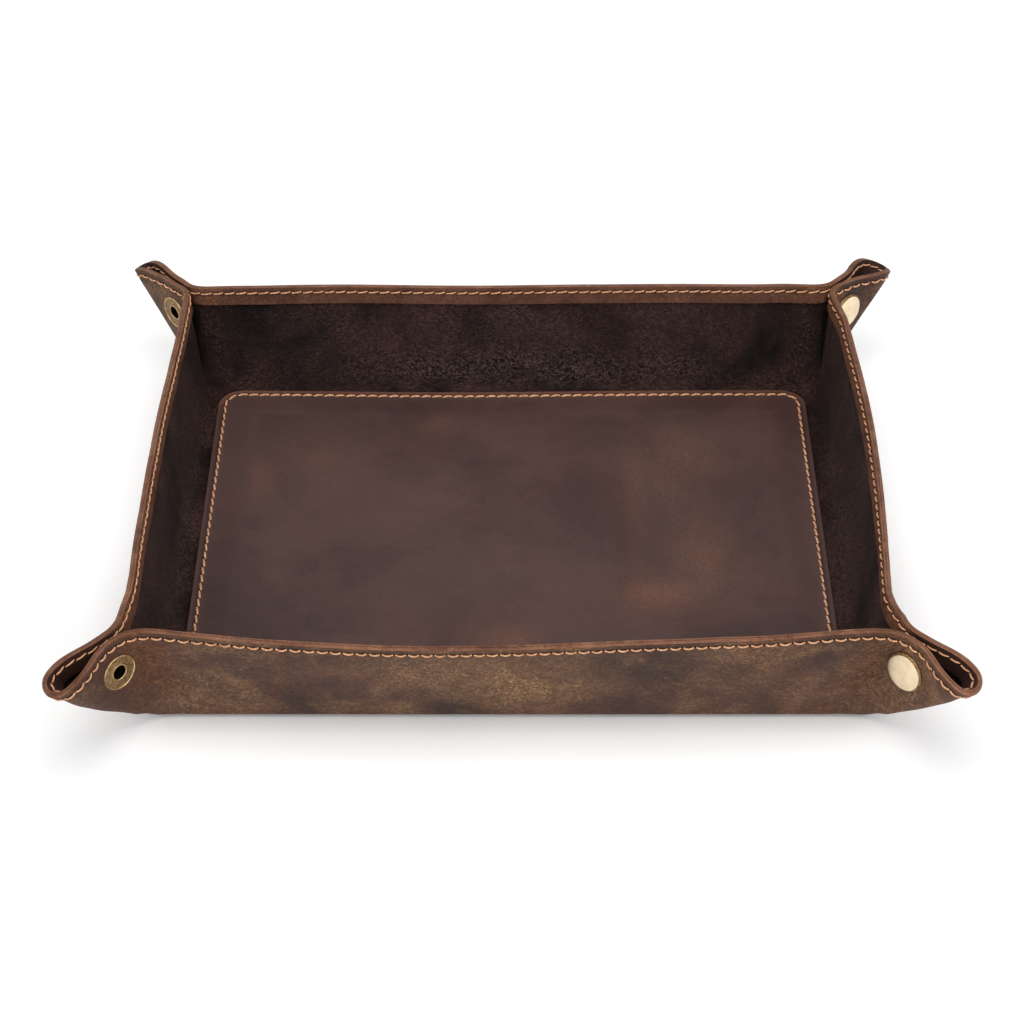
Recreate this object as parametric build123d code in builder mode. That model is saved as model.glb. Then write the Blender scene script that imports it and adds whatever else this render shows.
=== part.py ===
from build123d import *

import os
from math import asin, cos, degrees, pi, radians, sin, tan

# A leather valet tray. One leather blank is bent up on four sides, and each of its corners is
# pinched into a folded ear that a snap fastener holds. Millimetres, +Z up, origin under the middle
# of the base. The tray's front faces -Y.

# The blank, measured flat on the middle of the leather's thickness
base_width = 242.0
base_depth = 183.0
wall_height = 44.5
corner_radius = 20.0
leather = 1.4
bend_radius = 6.0

# How far each wall leans out from upright, at its ends and at its middle
corner_lean_angle = 8.5
front_lean_angle = 16.0
back_lean_angle = 9.5
side_lean_angle = 12.0

# The folded ears: the free space between the inner faces of the two flaps
ear_space = 4.4
apex_relief = 7.0

# Facing strip glued inside the rim, and the thread that sews it
facing = 0.8
facing_width = 7.5
thread_inset = 2.8
thread_width = 0.7
thread_rise = 0.35

# Floor panel sewn over a stiff board
panel_margin = 0.3
panel_leather = 1.4
panel_corner_radius = 9.0
panel_thread_inset = 3.0
board = 1.0
board_inset = 7.0
board_clearance = 0.3
panel_shoulder = 1.2
bobbin_groove = 0.5

# Snap fasteners, one at each corner, placed from the rim and from the ear's outer fold
snap_inset = 12.5
snap_fold_inset = 15.5
snap_hole_radius = 1.95
cap_radius = 7.3
cap_rim = 0.7
cap_rise = 2.0
post_radius = 1.7
post_head_radius = 2.3
post_head = 0.5
socket_radius = 4.7
socket_bore_radius = 3.0
socket_floor = 0.6
stud_radius = 4.6
stud_flange = 0.7
stud_post_radius = 2.4
stud_bore_radius = 1.85
stud_engagement = 0.7
eyelet_radius = 6.5
eyelet_flange = 0.7
eyelet_lip = 0.45
eyelet_lip_radius = 2.9
eyelet_tube_radius = 1.75
eyelet_bore_radius = 1.3

# Clearances
glue_gap = 0.05
fold_gap = 0.3
crease_gap = 0.45
mirror_gap = 0.32
overrun = 8.0

# Places along a wall where its lean is set, as shares of the wall's half length
station_shares = (-1, -2 / 3, -1 / 3, 0, 1 / 3, 2 / 3, 1)

# Worked out from the sizes above
middle = leather / 2
ear_offset = ear_space / 2 + middle
blank_width = base_width + 2 * wall_height
blank_depth = base_depth + 2 * wall_height
corner_fold_angle = 90 - corner_lean_angle
foot_reach = bend_radius * tan(radians(corner_fold_angle / 2))
sheet_edge = foot_reach + leather
UP = Vector(0, 0, 1)

# Each side: its outward direction, the distance to its fold, its half length and its lean
SIDES = {
    "front": (Vector(0, -1, 0), base_depth / 2, base_width / 2, front_lean_angle),
    "back": (Vector(0, 1, 0), base_depth / 2, base_width / 2, back_lean_angle),
    "left": (Vector(-1, 0, 0), base_width / 2, base_depth / 2, side_lean_angle),
    "right": (Vector(1, 0, 0), base_width / 2, base_depth / 2, side_lean_angle),
}
CORNERS = [("front", "left"), ("front", "right"), ("back", "left"), ("back", "right")]

# The flaps whose snap half is the eyelet and stud. The flap across the ear carries the cap.
EYELET_FLAPS = [("front", "left"), ("right", "front"), ("back", "right"), ("left", "back")]

os.makedirs("parts", exist_ok=True)


def save(piece, node):
    """Label one finished piece and write its STEP file."""
    piece.part.label = node
    export_step(piece.part, f"parts/{node}.step")


def turned(point, axis, angle):
    """A point turned about an axis."""
    return axis.position + (point - axis.position).rotate(axis, angle)


def turned_plane(plane, axis, angle):
    """A plane turned about an axis."""
    return Plane(
        origin=turned(plane.origin, axis, angle),
        x_dir=plane.x_dir.rotate(axis, angle),
        z_dir=plane.z_dir.rotate(axis, angle),
    )


# Walls


def end_reach():
    """How far the top of a wall reaches past its fold's end."""
    return wall_height * sin(radians(corner_lean_angle))


def lean_at(side, station):
    """The lean of a wall at a distance along it: bowed between the base's rounded corners."""
    half_length, middle_lean = SIDES[side][2:]
    share = min(1, abs(station) / (half_length - sheet_edge))
    return corner_lean_angle + (middle_lean - corner_lean_angle) * (1 - share**2)


def station_plane(side, station):
    """The plane across a wall: x outward, y up, origin on the fold line."""
    outward, distance = SIDES[side][:2]
    along = outward.cross(UP)
    return Plane(origin=outward * distance + along * station + UP * middle, x_dir=outward, z_dir=along)


def on_wall(lean, height, depth):
    """A point of a wall's section, by its height along the leather and its depth inward."""
    out = height * sin(radians(lean)) - depth * cos(radians(lean))
    up = height * cos(radians(lean)) + depth * sin(radians(lean))
    return (out, up)


def on_bend(lean, turn, depth):
    """A point of the bend at the foot of a wall, by its turn from flat."""
    radius = bend_radius - depth
    reach = bend_radius * tan(radians((90 - lean) / 2))
    return (-reach + radius * sin(radians(turn)), bend_radius - radius * cos(radians(turn)))


def half_gap_turn():
    """Half of the gap at a fold, as a turn of the bend."""
    return degrees(asin(fold_gap / 2 / bend_radius))


def stations(side):
    """Distances along a wall where its section is drawn."""
    half_length = SIDES[side][2]
    return [share * (half_length + end_reach() + overrun) for share in station_shares]


def wall_end_plane(side, neighbour):
    """The cut at one end of a wall, along the pinch crease, facing the wall."""
    crease = pinch_crease(side, neighbour)
    inward = wall_inward(side, neighbour, crease)
    mitre = (inward - flap_outward(side, neighbour, crease)).normalized()
    normal = (inward + mitre).normalized()
    return Plane(origin=crease.position + normal * crease_gap, z_dir=normal)


def strip_section(lean, low, high, inner, outer):
    """Outline of a strip on the straight of a wall, between two heights and two depths."""
    Polyline(
        on_wall(lean, low, inner),
        on_wall(lean, high, inner),
        on_wall(lean, high, outer),
        on_wall(lean, low, outer),
        close=True,
    )


def wall_section(lean):
    """Outline of a wall's leather, from the middle of its bend to its rim."""
    fold = 90 - lean
    start = fold / 2 + half_gap_turn()
    between = (start + fold) / 2
    inner, outer = middle, -middle
    ThreePointArc(*[on_bend(lean, turn, inner) for turn in (start, between, fold)])
    Polyline(
        on_bend(lean, fold, inner),
        on_wall(lean, wall_height, inner),
        on_wall(lean, wall_height, outer),
        on_bend(lean, fold, outer),
    )
    ThreePointArc(*[on_bend(lean, turn, outer) for turn in (fold, between, start)])
    Line(on_bend(lean, start, outer), on_bend(lean, start, inner))


# Corner ears


def corner_point(side, neighbour):
    """The corner where the fold lines of two sides cross."""
    outward, distance = SIDES[side][:2]
    other, other_distance = SIDES[neighbour][:2]
    return outward * distance + other * other_distance + UP * middle


def diagonal(side, neighbour):
    """Outward direction of a corner's diagonal."""
    return (SIDES[side][0] + SIDES[neighbour][0]).normalized()


def toward(side, neighbour):
    """Direction square to the diagonal, toward one side's flap."""
    return (SIDES[side][0] - SIDES[neighbour][0]).normalized()


def wall_plane(side, neighbour):
    """The middle of a wall's leather at its end, with z as the inner face's normal."""
    outward = SIDES[side][0]
    flat = Plane(origin=corner_point(side, neighbour), x_dir=outward, z_dir=UP)
    return turned_plane(flat, fold_axis(side, neighbour), -corner_fold_angle)


def fold_axis(side, neighbour):
    """Axis of a wall's base fold. A positive turn lays the wall down."""
    return Axis(corner_point(side, neighbour), UP.cross(SIDES[side][0]))


def pinch_crease(side, neighbour):
    """Axis of the crease between a wall and its ear flap. A positive turn flattens it."""
    wall = wall_plane(side, neighbour)
    across = toward(side, neighbour)
    direction = wall.z_dir.cross(across).normalized()
    direction = direction if direction.dot(UP) > 0 else -direction
    foot = corner_point(side, neighbour) - SIDES[neighbour][0] * ear_offset * 2**0.5
    crease = Axis(foot, direction)
    turn = flap_outward(side, neighbour, crease).cross(-wall_inward(side, neighbour, crease))
    return crease if turn.dot(direction) > 0 else Axis(foot, -direction)


def wall_inward(side, neighbour, crease):
    """Direction in a wall, square to its crease, toward the wall's middle."""
    inward = wall_plane(side, neighbour).z_dir.cross(crease.direction).normalized()
    return inward if inward.dot(SIDES[neighbour][0]) < 0 else -inward


def flap_outward(side, neighbour, crease):
    """Direction in an ear flap, square to its crease, away from the wall."""
    outward = toward(side, neighbour).cross(crease.direction).normalized()
    return outward if outward.dot(diagonal(side, neighbour)) > 0 else -outward


def pinch_angle(side, neighbour):
    """How far an ear flap is turned out of the plane of its wall."""
    crease = pinch_crease(side, neighbour)
    return flap_outward(side, neighbour, crease).get_angle(-wall_inward(side, neighbour, crease))


def folded(plane, side, neighbour):
    """A plane of the flat blank, carried to where a corner's flap lies when folded."""
    lifted = turned_plane(plane, fold_axis(side, neighbour), -corner_fold_angle)
    return turned_plane(lifted, pinch_crease(side, neighbour), -pinch_angle(side, neighbour))


def flap_plane(side, neighbour):
    """The blank's own plane, folded with a flap: sketches on it use the flat blank's places."""
    return folded(Plane.XY.offset(middle), side, neighbour)


def ear_plane(side, neighbour):
    """Plane across an ear's fold: x toward the flap, y up into the ear, z along the fold."""
    across = toward(side, neighbour)
    flat = Plane(corner_point(side, neighbour), x_dir=diagonal(side, neighbour), z_dir=UP)
    carried = folded(flat, side, neighbour)
    along = carried.x_dir
    section = Plane(carried.origin - across * ear_offset, x_dir=across, z_dir=along)
    if section.y_dir.dot(UP) > 0:
        return section
    return Plane(section.origin, x_dir=across, z_dir=-along)


def flap_end_plane(side, neighbour):
    """The cut at the root of a flap, along the pinch crease, facing the flap."""
    crease = pinch_crease(side, neighbour)
    outward = flap_outward(side, neighbour, crease)
    mitre = (outward - wall_inward(side, neighbour, crease)).normalized()
    normal = (outward + mitre).normalized()
    return Plane(origin=crease.position + normal * crease_gap, z_dir=normal)


def mirror_plane(side, neighbour):
    """The plane between the two flaps of an ear, with the mirror gap, facing one flap."""
    across = toward(side, neighbour)
    return Plane(origin=corner_point(side, neighbour) + across * mirror_gap, z_dir=across)


def loop_outline(inner, outer):
    """Outline across a flap: a straight leg and the quarter turn that closes the ear's loop."""
    centre = ear_offset * pi / 2
    small, large = ear_offset - outer, ear_offset - inner
    CenterArc((0, centre), small, -90, 90)
    Polyline((small, centre), (small, blank_depth), (large, blank_depth), (large, centre))
    CenterArc((0, centre), large, -90, 90)
    Line((0, centre - small), (0, centre - large))


def blank_outline(inset, mode=Mode.ADD):
    """The blank's outline, brought in by an inset."""
    RectangleRounded(
        blank_width - 2 * inset, blank_depth - 2 * inset, corner_radius - inset, mode=mode
    )


def snap_place(side, neighbour):
    """Place of a snap in the flat blank."""
    rise = wall_height - snap_inset
    reach = rise - snap_fold_inset * 2**0.5
    place = corner_point(side, neighbour) + SIDES[side][0] * rise + SIDES[neighbour][0] * reach
    return (place.X, place.Y)


def flap_layer(side, neighbour, inner, outer, low_inset, high_inset=0, hole=0):
    """Add one layer of an ear flap, between two depths and two insets from the rim."""
    corner = corner_point(side, neighbour)
    with BuildPart(mode=Mode.PRIVATE) as layer:
        with BuildSketch(ear_plane(side, neighbour)):
            with BuildLine():
                loop_outline(inner, outer)
            make_face()
        extrude(amount=blank_depth / 2, both=True)
        with BuildSketch(flap_plane(side, neighbour)):
            blank_outline(low_inset)
            if high_inset:
                blank_outline(high_inset, mode=Mode.SUBTRACT)
            with Locations((corner.X, corner.Y)):
                Circle(apex_relief, mode=Mode.SUBTRACT)
            if hole:
                with Locations(snap_place(side, neighbour)):
                    Circle(hole, mode=Mode.SUBTRACT)
        extrude(amount=ear_offset + overrun, both=True, mode=Mode.INTERSECT)
        split(bisect_by=flap_end_plane(side, neighbour))
        split(bisect_by=mirror_plane(side, neighbour))
    return layer.part


def wall_layer(side, section):
    """One layer of a wall, lofted along its bow and cut off at both pinch creases."""
    neighbours = ("left", "right") if side in ("front", "back") else ("front", "back")
    with BuildPart(mode=Mode.PRIVATE) as layer:
        for station in stations(side):
            with BuildSketch(station_plane(side, station)):
                with BuildLine():
                    section(lean_at(side, station))
                make_face()
        loft()
        for neighbour in neighbours:
            split(bisect_by=wall_end_plane(side, neighbour))
            split(bisect_by=mirror_plane(side, neighbour))
    return layer.part


# Depths of the layers from the middle of the leather, positive inward
facing_inner = middle + glue_gap
facing_outer = facing_inner + facing
thread_low = thread_inset + thread_width / 2
thread_high = thread_inset - thread_width / 2
FACING = (facing_inner, facing_outer)
OUTER_THREAD = (-middle - glue_gap - thread_rise, -middle - glue_gap)
INNER_THREAD = (facing_outer + glue_gap, facing_outer + glue_gap + thread_rise)

# Base leather: a flat sheet whose edges turn up to the middle of each bend


def base_edge_section(lean, root):
    """Outline of the base's edge, from a root in the flat sheet to the middle of the bend."""
    end = (90 - lean) / 2 - half_gap_turn()
    inner, outer = middle, -middle
    Polyline(on_bend(lean, 0, inner), (-root, inner), (-root, outer), on_bend(lean, 0, outer))
    ThreePointArc(*[on_bend(lean, turn, outer) for turn in (0, end / 2, end)])
    Line(on_bend(lean, end, outer), on_bend(lean, end, inner))
    ThreePointArc(*[on_bend(lean, turn, inner) for turn in (end, end / 2, 0)])


def base_edge(side):
    """One bent-up edge of the base, between its rounded corners."""
    half_length = SIDES[side][2] - sheet_edge
    with BuildPart(mode=Mode.PRIVATE) as edge:
        for share in station_shares:
            with BuildSketch(station_plane(side, share * half_length)):
                with BuildLine():
                    base_edge_section(lean_at(side, share * half_length), sheet_edge + leather)
                make_face()
        loft()
    return edge.part


def base_corner(side, neighbour):
    """A rounded corner of the base, turned through a right angle about its own centre."""
    corner = corner_point(side, neighbour)
    outward = SIDES[side][0]
    centre = corner - (outward + SIDES[neighbour][0]) * sheet_edge
    start = SIDES[side][0] if outward.cross(SIDES[neighbour][0]).Z > 0 else SIDES[neighbour][0]
    section = Plane(origin=centre + start * sheet_edge, x_dir=start, z_dir=start.cross(UP))
    with BuildPart(mode=Mode.PRIVATE) as turn:
        with BuildSketch(section):
            with BuildLine():
                base_edge_section(corner_lean_angle, sheet_edge)
            make_face()
        revolve(axis=Axis(centre, UP), revolution_arc=90)
    return turn.part


panel_width = base_width - 2 * (foot_reach + panel_margin)
panel_depth = base_depth - 2 * (foot_reach + panel_margin)
panel_bottom = leather + glue_gap
board_corner_radius = panel_corner_radius - board_inset / 2


def panel_outline(inset):
    """The floor panel's outline, brought in by an inset."""
    radius = max(panel_corner_radius - inset, board_corner_radius)
    RectangleRounded(panel_width - 2 * inset, panel_depth - 2 * inset, radius)


def sewn_band(widen):
    """Band along the floor panel's stitch line, wider than the thread by a clearance."""
    inset = panel_thread_inset - thread_width / 2 - widen
    radius = panel_corner_radius - inset
    RectangleRounded(panel_width - 2 * inset, panel_depth - 2 * inset, radius)
    inset = panel_thread_inset + thread_width / 2 + widen
    radius = panel_corner_radius - inset
    RectangleRounded(
        panel_width - 2 * inset, panel_depth - 2 * inset, radius, mode=Mode.SUBTRACT
    )


with BuildPart() as base_leather:
    with BuildSketch():
        Rectangle(base_width - 2 * sheet_edge, base_depth - 2 * sheet_edge)
    extrude(amount=leather)
    for side in SIDES:
        add(base_edge(side))
    for side, neighbour in CORNERS:
        add(base_corner(side, neighbour))
    with BuildSketch():
        sewn_band(widen=glue_gap)
    extrude(amount=bobbin_groove, mode=Mode.SUBTRACT)
save(base_leather, "base_leather")

with BuildPart() as floor_board:
    with BuildSketch(Plane.XY.offset(panel_bottom)):
        panel_outline(board_inset)
    extrude(amount=board)
save(floor_board, "floor_board")

with BuildPart() as floor_panel:
    with BuildSketch(Plane.XY.offset(panel_bottom)):
        panel_outline(0)
    extrude(amount=panel_leather)
    pocket_inset = board_inset - board_clearance
    field_inset = pocket_inset - panel_shoulder
    with BuildSketch(Plane.XY.offset(panel_bottom + panel_leather)):
        panel_outline(field_inset - panel_shoulder / 2)
    with BuildSketch(Plane.XY.offset(panel_bottom + panel_leather + board + glue_gap)):
        panel_outline(field_inset + panel_shoulder / 2)
    loft()
    with BuildSketch(Plane.XY.offset(panel_bottom)):
        panel_outline(pocket_inset)
    extrude(amount=board + glue_gap, mode=Mode.SUBTRACT)
save(floor_panel, "floor_panel")

with BuildPart() as floor_thread:
    with BuildSketch(Plane.XY.offset(panel_bottom + panel_leather + glue_gap)):
        sewn_band(widen=0)
    extrude(amount=thread_rise)
    with BuildSketch(Plane.XY.offset(bobbin_groove - glue_gap - thread_rise)):
        sewn_band(widen=0)
    extrude(amount=thread_rise)
save(floor_thread, "floor_thread")

# Walls, with the facing strip inside each rim and the thread on both faces

for side in SIDES:
    with BuildPart() as wall:
        add(wall_layer(side, wall_section))
    save(wall, f"{side}_wall")

    with BuildPart() as wall_facing:
        low, high = wall_height - facing_width, wall_height
        add(wall_layer(side, lambda lean: strip_section(lean, low, high, *FACING)))
    save(wall_facing, f"{side}_facing")

    with BuildPart() as wall_thread:
        low, high = wall_height - thread_low, wall_height - thread_high
        for depths in (OUTER_THREAD, INNER_THREAD):
            add(wall_layer(side, lambda lean: strip_section(lean, low, high, *depths)))
    save(wall_thread, f"{side}_thread")

# Ear flaps: each corner has one on each of its two walls

for corner in CORNERS:
    for side, neighbour in (corner, corner[::-1]):
        node = f"{corner[0]}_{corner[1]}_ear_{side}"

        with BuildPart() as flap:
            add(flap_layer(side, neighbour, -middle, middle, 0, hole=snap_hole_radius))
        save(flap, node)

        with BuildPart() as flap_facing:
            add(flap_layer(side, neighbour, *FACING, 0, facing_width))
        save(flap_facing, f"{node}_facing")

        with BuildPart() as flap_thread:
            for depths in (OUTER_THREAD, INNER_THREAD):
                add(flap_layer(side, neighbour, *depths, thread_high, thread_low))
        save(flap_thread, f"{node}_thread")

# Snap fasteners, drawn by radius and by distance from the mirror plane toward their own flap

inner_face = ear_offset - middle - glue_gap
outer_face = ear_offset + middle + glue_gap


def snap_section(side, neighbour):
    """Plane through a snap's axis: x outward from the axis, y toward the flap it is set in."""
    across = toward(side, neighbour)
    place = flap_plane(side, neighbour).from_local_coords((*snap_place(side, neighbour), 0))
    radial = flap_plane(side, neighbour).x_dir
    return Plane(origin=place - across * ear_offset, x_dir=radial, z_dir=radial.cross(across))


def snap_part(side, neighbour, outline):
    """One piece of a snap, revolved about its axis."""
    section = snap_section(side, neighbour)
    with BuildPart(mode=Mode.PRIVATE) as piece:
        with BuildSketch(section):
            with BuildLine():
                outline()
            make_face()
        revolve(axis=Axis(section.origin, section.y_dir))
    return piece.part


cap_top = outer_face + cap_rise
dome_rise = cap_rise - cap_rim
dome_radius = (cap_radius**2 + dome_rise**2) / (2 * dome_rise)
dome_turn = asin(cap_radius / dome_radius)
post_tip = inner_face - socket_floor - glue_gap - post_head
socket_mouth = -stud_engagement / 2
stud_tip = -socket_mouth - stud_engagement


def cap_outline():
    """A domed cap on the outer face, with its post and the head turned over in the socket."""
    Polyline(
        (0, post_tip),
        (post_head_radius, post_tip),
        (post_head_radius, post_tip + post_head),
        (post_radius, post_tip + post_head),
        (post_radius, outer_face),
        (cap_radius, outer_face),
        (cap_radius, outer_face + cap_rim),
    )
    ThreePointArc(
        (cap_radius, outer_face + cap_rim),
        (dome_radius * sin(dome_turn / 2), cap_top - dome_radius * (1 - cos(dome_turn / 2))),
        (0, cap_top),
    )
    Line((0, cap_top), (0, post_tip))


def socket_outline():
    """A ring on the inner face, with a bore that grips the stud."""
    Polyline(
        (post_radius + glue_gap, inner_face),
        (socket_radius, inner_face),
        (socket_radius, socket_mouth),
        (socket_bore_radius, socket_mouth),
        (socket_bore_radius, inner_face - socket_floor),
        (post_radius + glue_gap, inner_face - socket_floor),
        close=True,
    )


def stud_outline():
    """A flange on the inner face with a hollow post that reaches into the socket."""
    Polyline(
        (stud_bore_radius, inner_face),
        (stud_radius, inner_face),
        (stud_radius, inner_face - stud_flange),
        (stud_post_radius, inner_face - stud_flange),
        (stud_post_radius, stud_tip),
        (stud_bore_radius, stud_tip),
        close=True,
    )


def eyelet_outline():
    """A flange on the outer face with a raised lip and a tube through the leather."""
    Polyline(
        (eyelet_bore_radius, stud_tip),
        (eyelet_tube_radius, stud_tip),
        (eyelet_tube_radius, outer_face),
        (eyelet_radius, outer_face),
        (eyelet_radius, outer_face + eyelet_flange / 2),
        (eyelet_radius - eyelet_flange / 2, outer_face + eyelet_flange),
        (eyelet_lip_radius, outer_face + eyelet_flange),
        (eyelet_lip_radius - eyelet_lip, outer_face + eyelet_flange + eyelet_lip),
        (eyelet_tube_radius, outer_face + eyelet_flange + eyelet_lip),
        (eyelet_bore_radius, outer_face),
        close=True,
    )


for corner in CORNERS:
    eyelet_side = next(pair for pair in (corner, corner[::-1]) if pair in EYELET_FLAPS)
    cap_side = eyelet_side[::-1]
    name = f"{corner[0]}_{corner[1]}"

    with BuildPart() as snap_cap:
        add(snap_part(*cap_side, cap_outline))
    save(snap_cap, f"{name}_snap_cap")

    with BuildPart() as snap_socket:
        add(snap_part(*cap_side, socket_outline))
    save(snap_socket, f"{name}_snap_socket")

    with BuildPart() as snap_stud:
        add(snap_part(*eyelet_side, stud_outline))
    save(snap_stud, f"{name}_snap_stud")

    with BuildPart() as snap_eyelet:
        add(snap_part(*eyelet_side, eyelet_outline))
    save(snap_eyelet, f"{name}_snap_eyelet")
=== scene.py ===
"""The dressed model of a leather valet tray.

One sheet of leather is folded up into four walls, and its corners are pinched into ears that snaps
hold shut. The sheet is worked out as one smooth surface over the flat blank, and each piece of
leather, facing strip and row of stitches is cut from it. Sizes are in millimetres until a mesh is
made, which is in metres.
"""
import logging
import math
from dataclasses import dataclass
from enum import Enum
from typing import ClassVar, Sequence

import bmesh
import bpy
import numpy as np
from bpy.types import Material, Mesh, Node, NodeSocket, NodeTree, Object
from mathutils import Matrix, Vector


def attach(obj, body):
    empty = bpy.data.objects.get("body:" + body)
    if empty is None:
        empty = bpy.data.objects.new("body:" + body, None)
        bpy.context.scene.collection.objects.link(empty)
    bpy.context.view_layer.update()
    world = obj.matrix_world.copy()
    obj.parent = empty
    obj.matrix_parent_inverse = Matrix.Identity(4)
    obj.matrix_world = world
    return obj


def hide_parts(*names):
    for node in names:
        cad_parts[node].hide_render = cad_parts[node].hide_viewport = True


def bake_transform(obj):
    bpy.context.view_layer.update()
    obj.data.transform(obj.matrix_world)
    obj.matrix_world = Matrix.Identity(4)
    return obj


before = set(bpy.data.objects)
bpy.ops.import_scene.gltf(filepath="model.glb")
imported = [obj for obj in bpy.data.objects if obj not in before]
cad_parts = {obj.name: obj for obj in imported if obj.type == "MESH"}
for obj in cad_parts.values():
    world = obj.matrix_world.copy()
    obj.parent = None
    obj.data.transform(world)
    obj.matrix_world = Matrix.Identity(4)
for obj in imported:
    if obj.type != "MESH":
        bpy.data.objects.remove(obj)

LOG = logging.getLogger("valet_tray")
MM = 0.001
ROOT2 = math.sqrt(2)
Array = np.ndarray
Colour = tuple[float, float, float, float]


def srgb(red: int, green: int, blue: int) -> Colour:
    """Turn a screen colour of 0 to 255 into the linear colour that shaders take.

    Args:
        red: Red of the screen colour.
        green: Green of the screen colour.
        blue: Blue of the screen colour.

    Returns:
        The linear colour with full alpha.
    """
    shares = (value / 255 for value in (red, green, blue))
    return (*(s / 12.92 if s <= 0.04045 else ((s + 0.055) / 1.055) ** 2.4 for s in shares), 1.0)


def smooth(share: Array) -> Array:
    """Return a share eased at both of its ends and held within 0 and 1."""
    share = np.clip(share, 0.0, 1.0)
    return share * share * (3 - 2 * share)


def plain_mesh(
    name: str,
    points: Sequence[Sequence[float]],
    faces: Sequence[Sequence[int]] = (),
    materials: Sequence[Material] = (),
    finishes: Sequence[int] = (),
) -> Mesh:
    """Make a smooth mesh.

    Args:
        name: The mesh's name.
        points: Its points, in metres.
        faces: Point numbers of each face.
        materials: Its materials.
        finishes: Material number of each face.

    Returns:
        The mesh.
    """
    mesh = bpy.data.meshes.new(name)
    mesh.from_pydata(points, [], faces)
    for material in materials:
        mesh.materials.append(material)
    if finishes:
        mesh.polygons.foreach_set("material_index", finishes)
        mesh.polygons.foreach_set("use_smooth", [True] * len(finishes))
    return mesh


def show(name: str, data: bpy.types.ID) -> Object:
    """Make an object of a mesh, lamp or camera, and link it to the scene."""
    made = bpy.data.objects.new(name, data)
    bpy.context.scene.collection.objects.link(made)
    return made


class Side(Enum):
    """The four sides of the tray, each with its outward direction."""

    FRONT = (0, -1)
    BACK = (0, 1)
    LEFT = (-1, 0)
    RIGHT = (1, 0)

    @property
    def label(self) -> str:
        """The side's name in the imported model."""
        return self.name.lower()

    @property
    def outward(self) -> Array:
        """The side's outward direction in the flat blank."""
        return np.array(self.value, float)

    @property
    def ends(self) -> tuple["Side", "Side"]:
        """The two sides that meet this one."""
        if self in (Side.FRONT, Side.BACK):
            return (Side.LEFT, Side.RIGHT)
        return (Side.FRONT, Side.BACK)


def corner_label(side: Side, neighbour: Side) -> str:
    """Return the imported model's name of the corner where two sides meet."""
    first, second = (side, neighbour) if side in (Side.FRONT, Side.BACK) else (neighbour, side)
    return f"{first.label}_{second.label}"


def ear_label(side: Side, neighbour: Side) -> str:
    """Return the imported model's name of a side's ear flap at a corner."""
    return f"{corner_label(side, neighbour)}_ear_{side.label}"


def over_rim(side: Side, neighbour: Side, turn: Array) -> Array:
    """Return directions over the rim, turned from a side's own towards its neighbour's."""
    return np.cos(turn)[..., None] * side.outward + np.sin(turn)[..., None] * neighbour.outward


def anticlockwise(side: Side, other: Side) -> bool:
    """Return whether going from one side to another is anticlockwise, seen from above."""
    return bool(side.outward[0] * other.outward[1] - side.outward[1] * other.outward[0] > 0)


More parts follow.
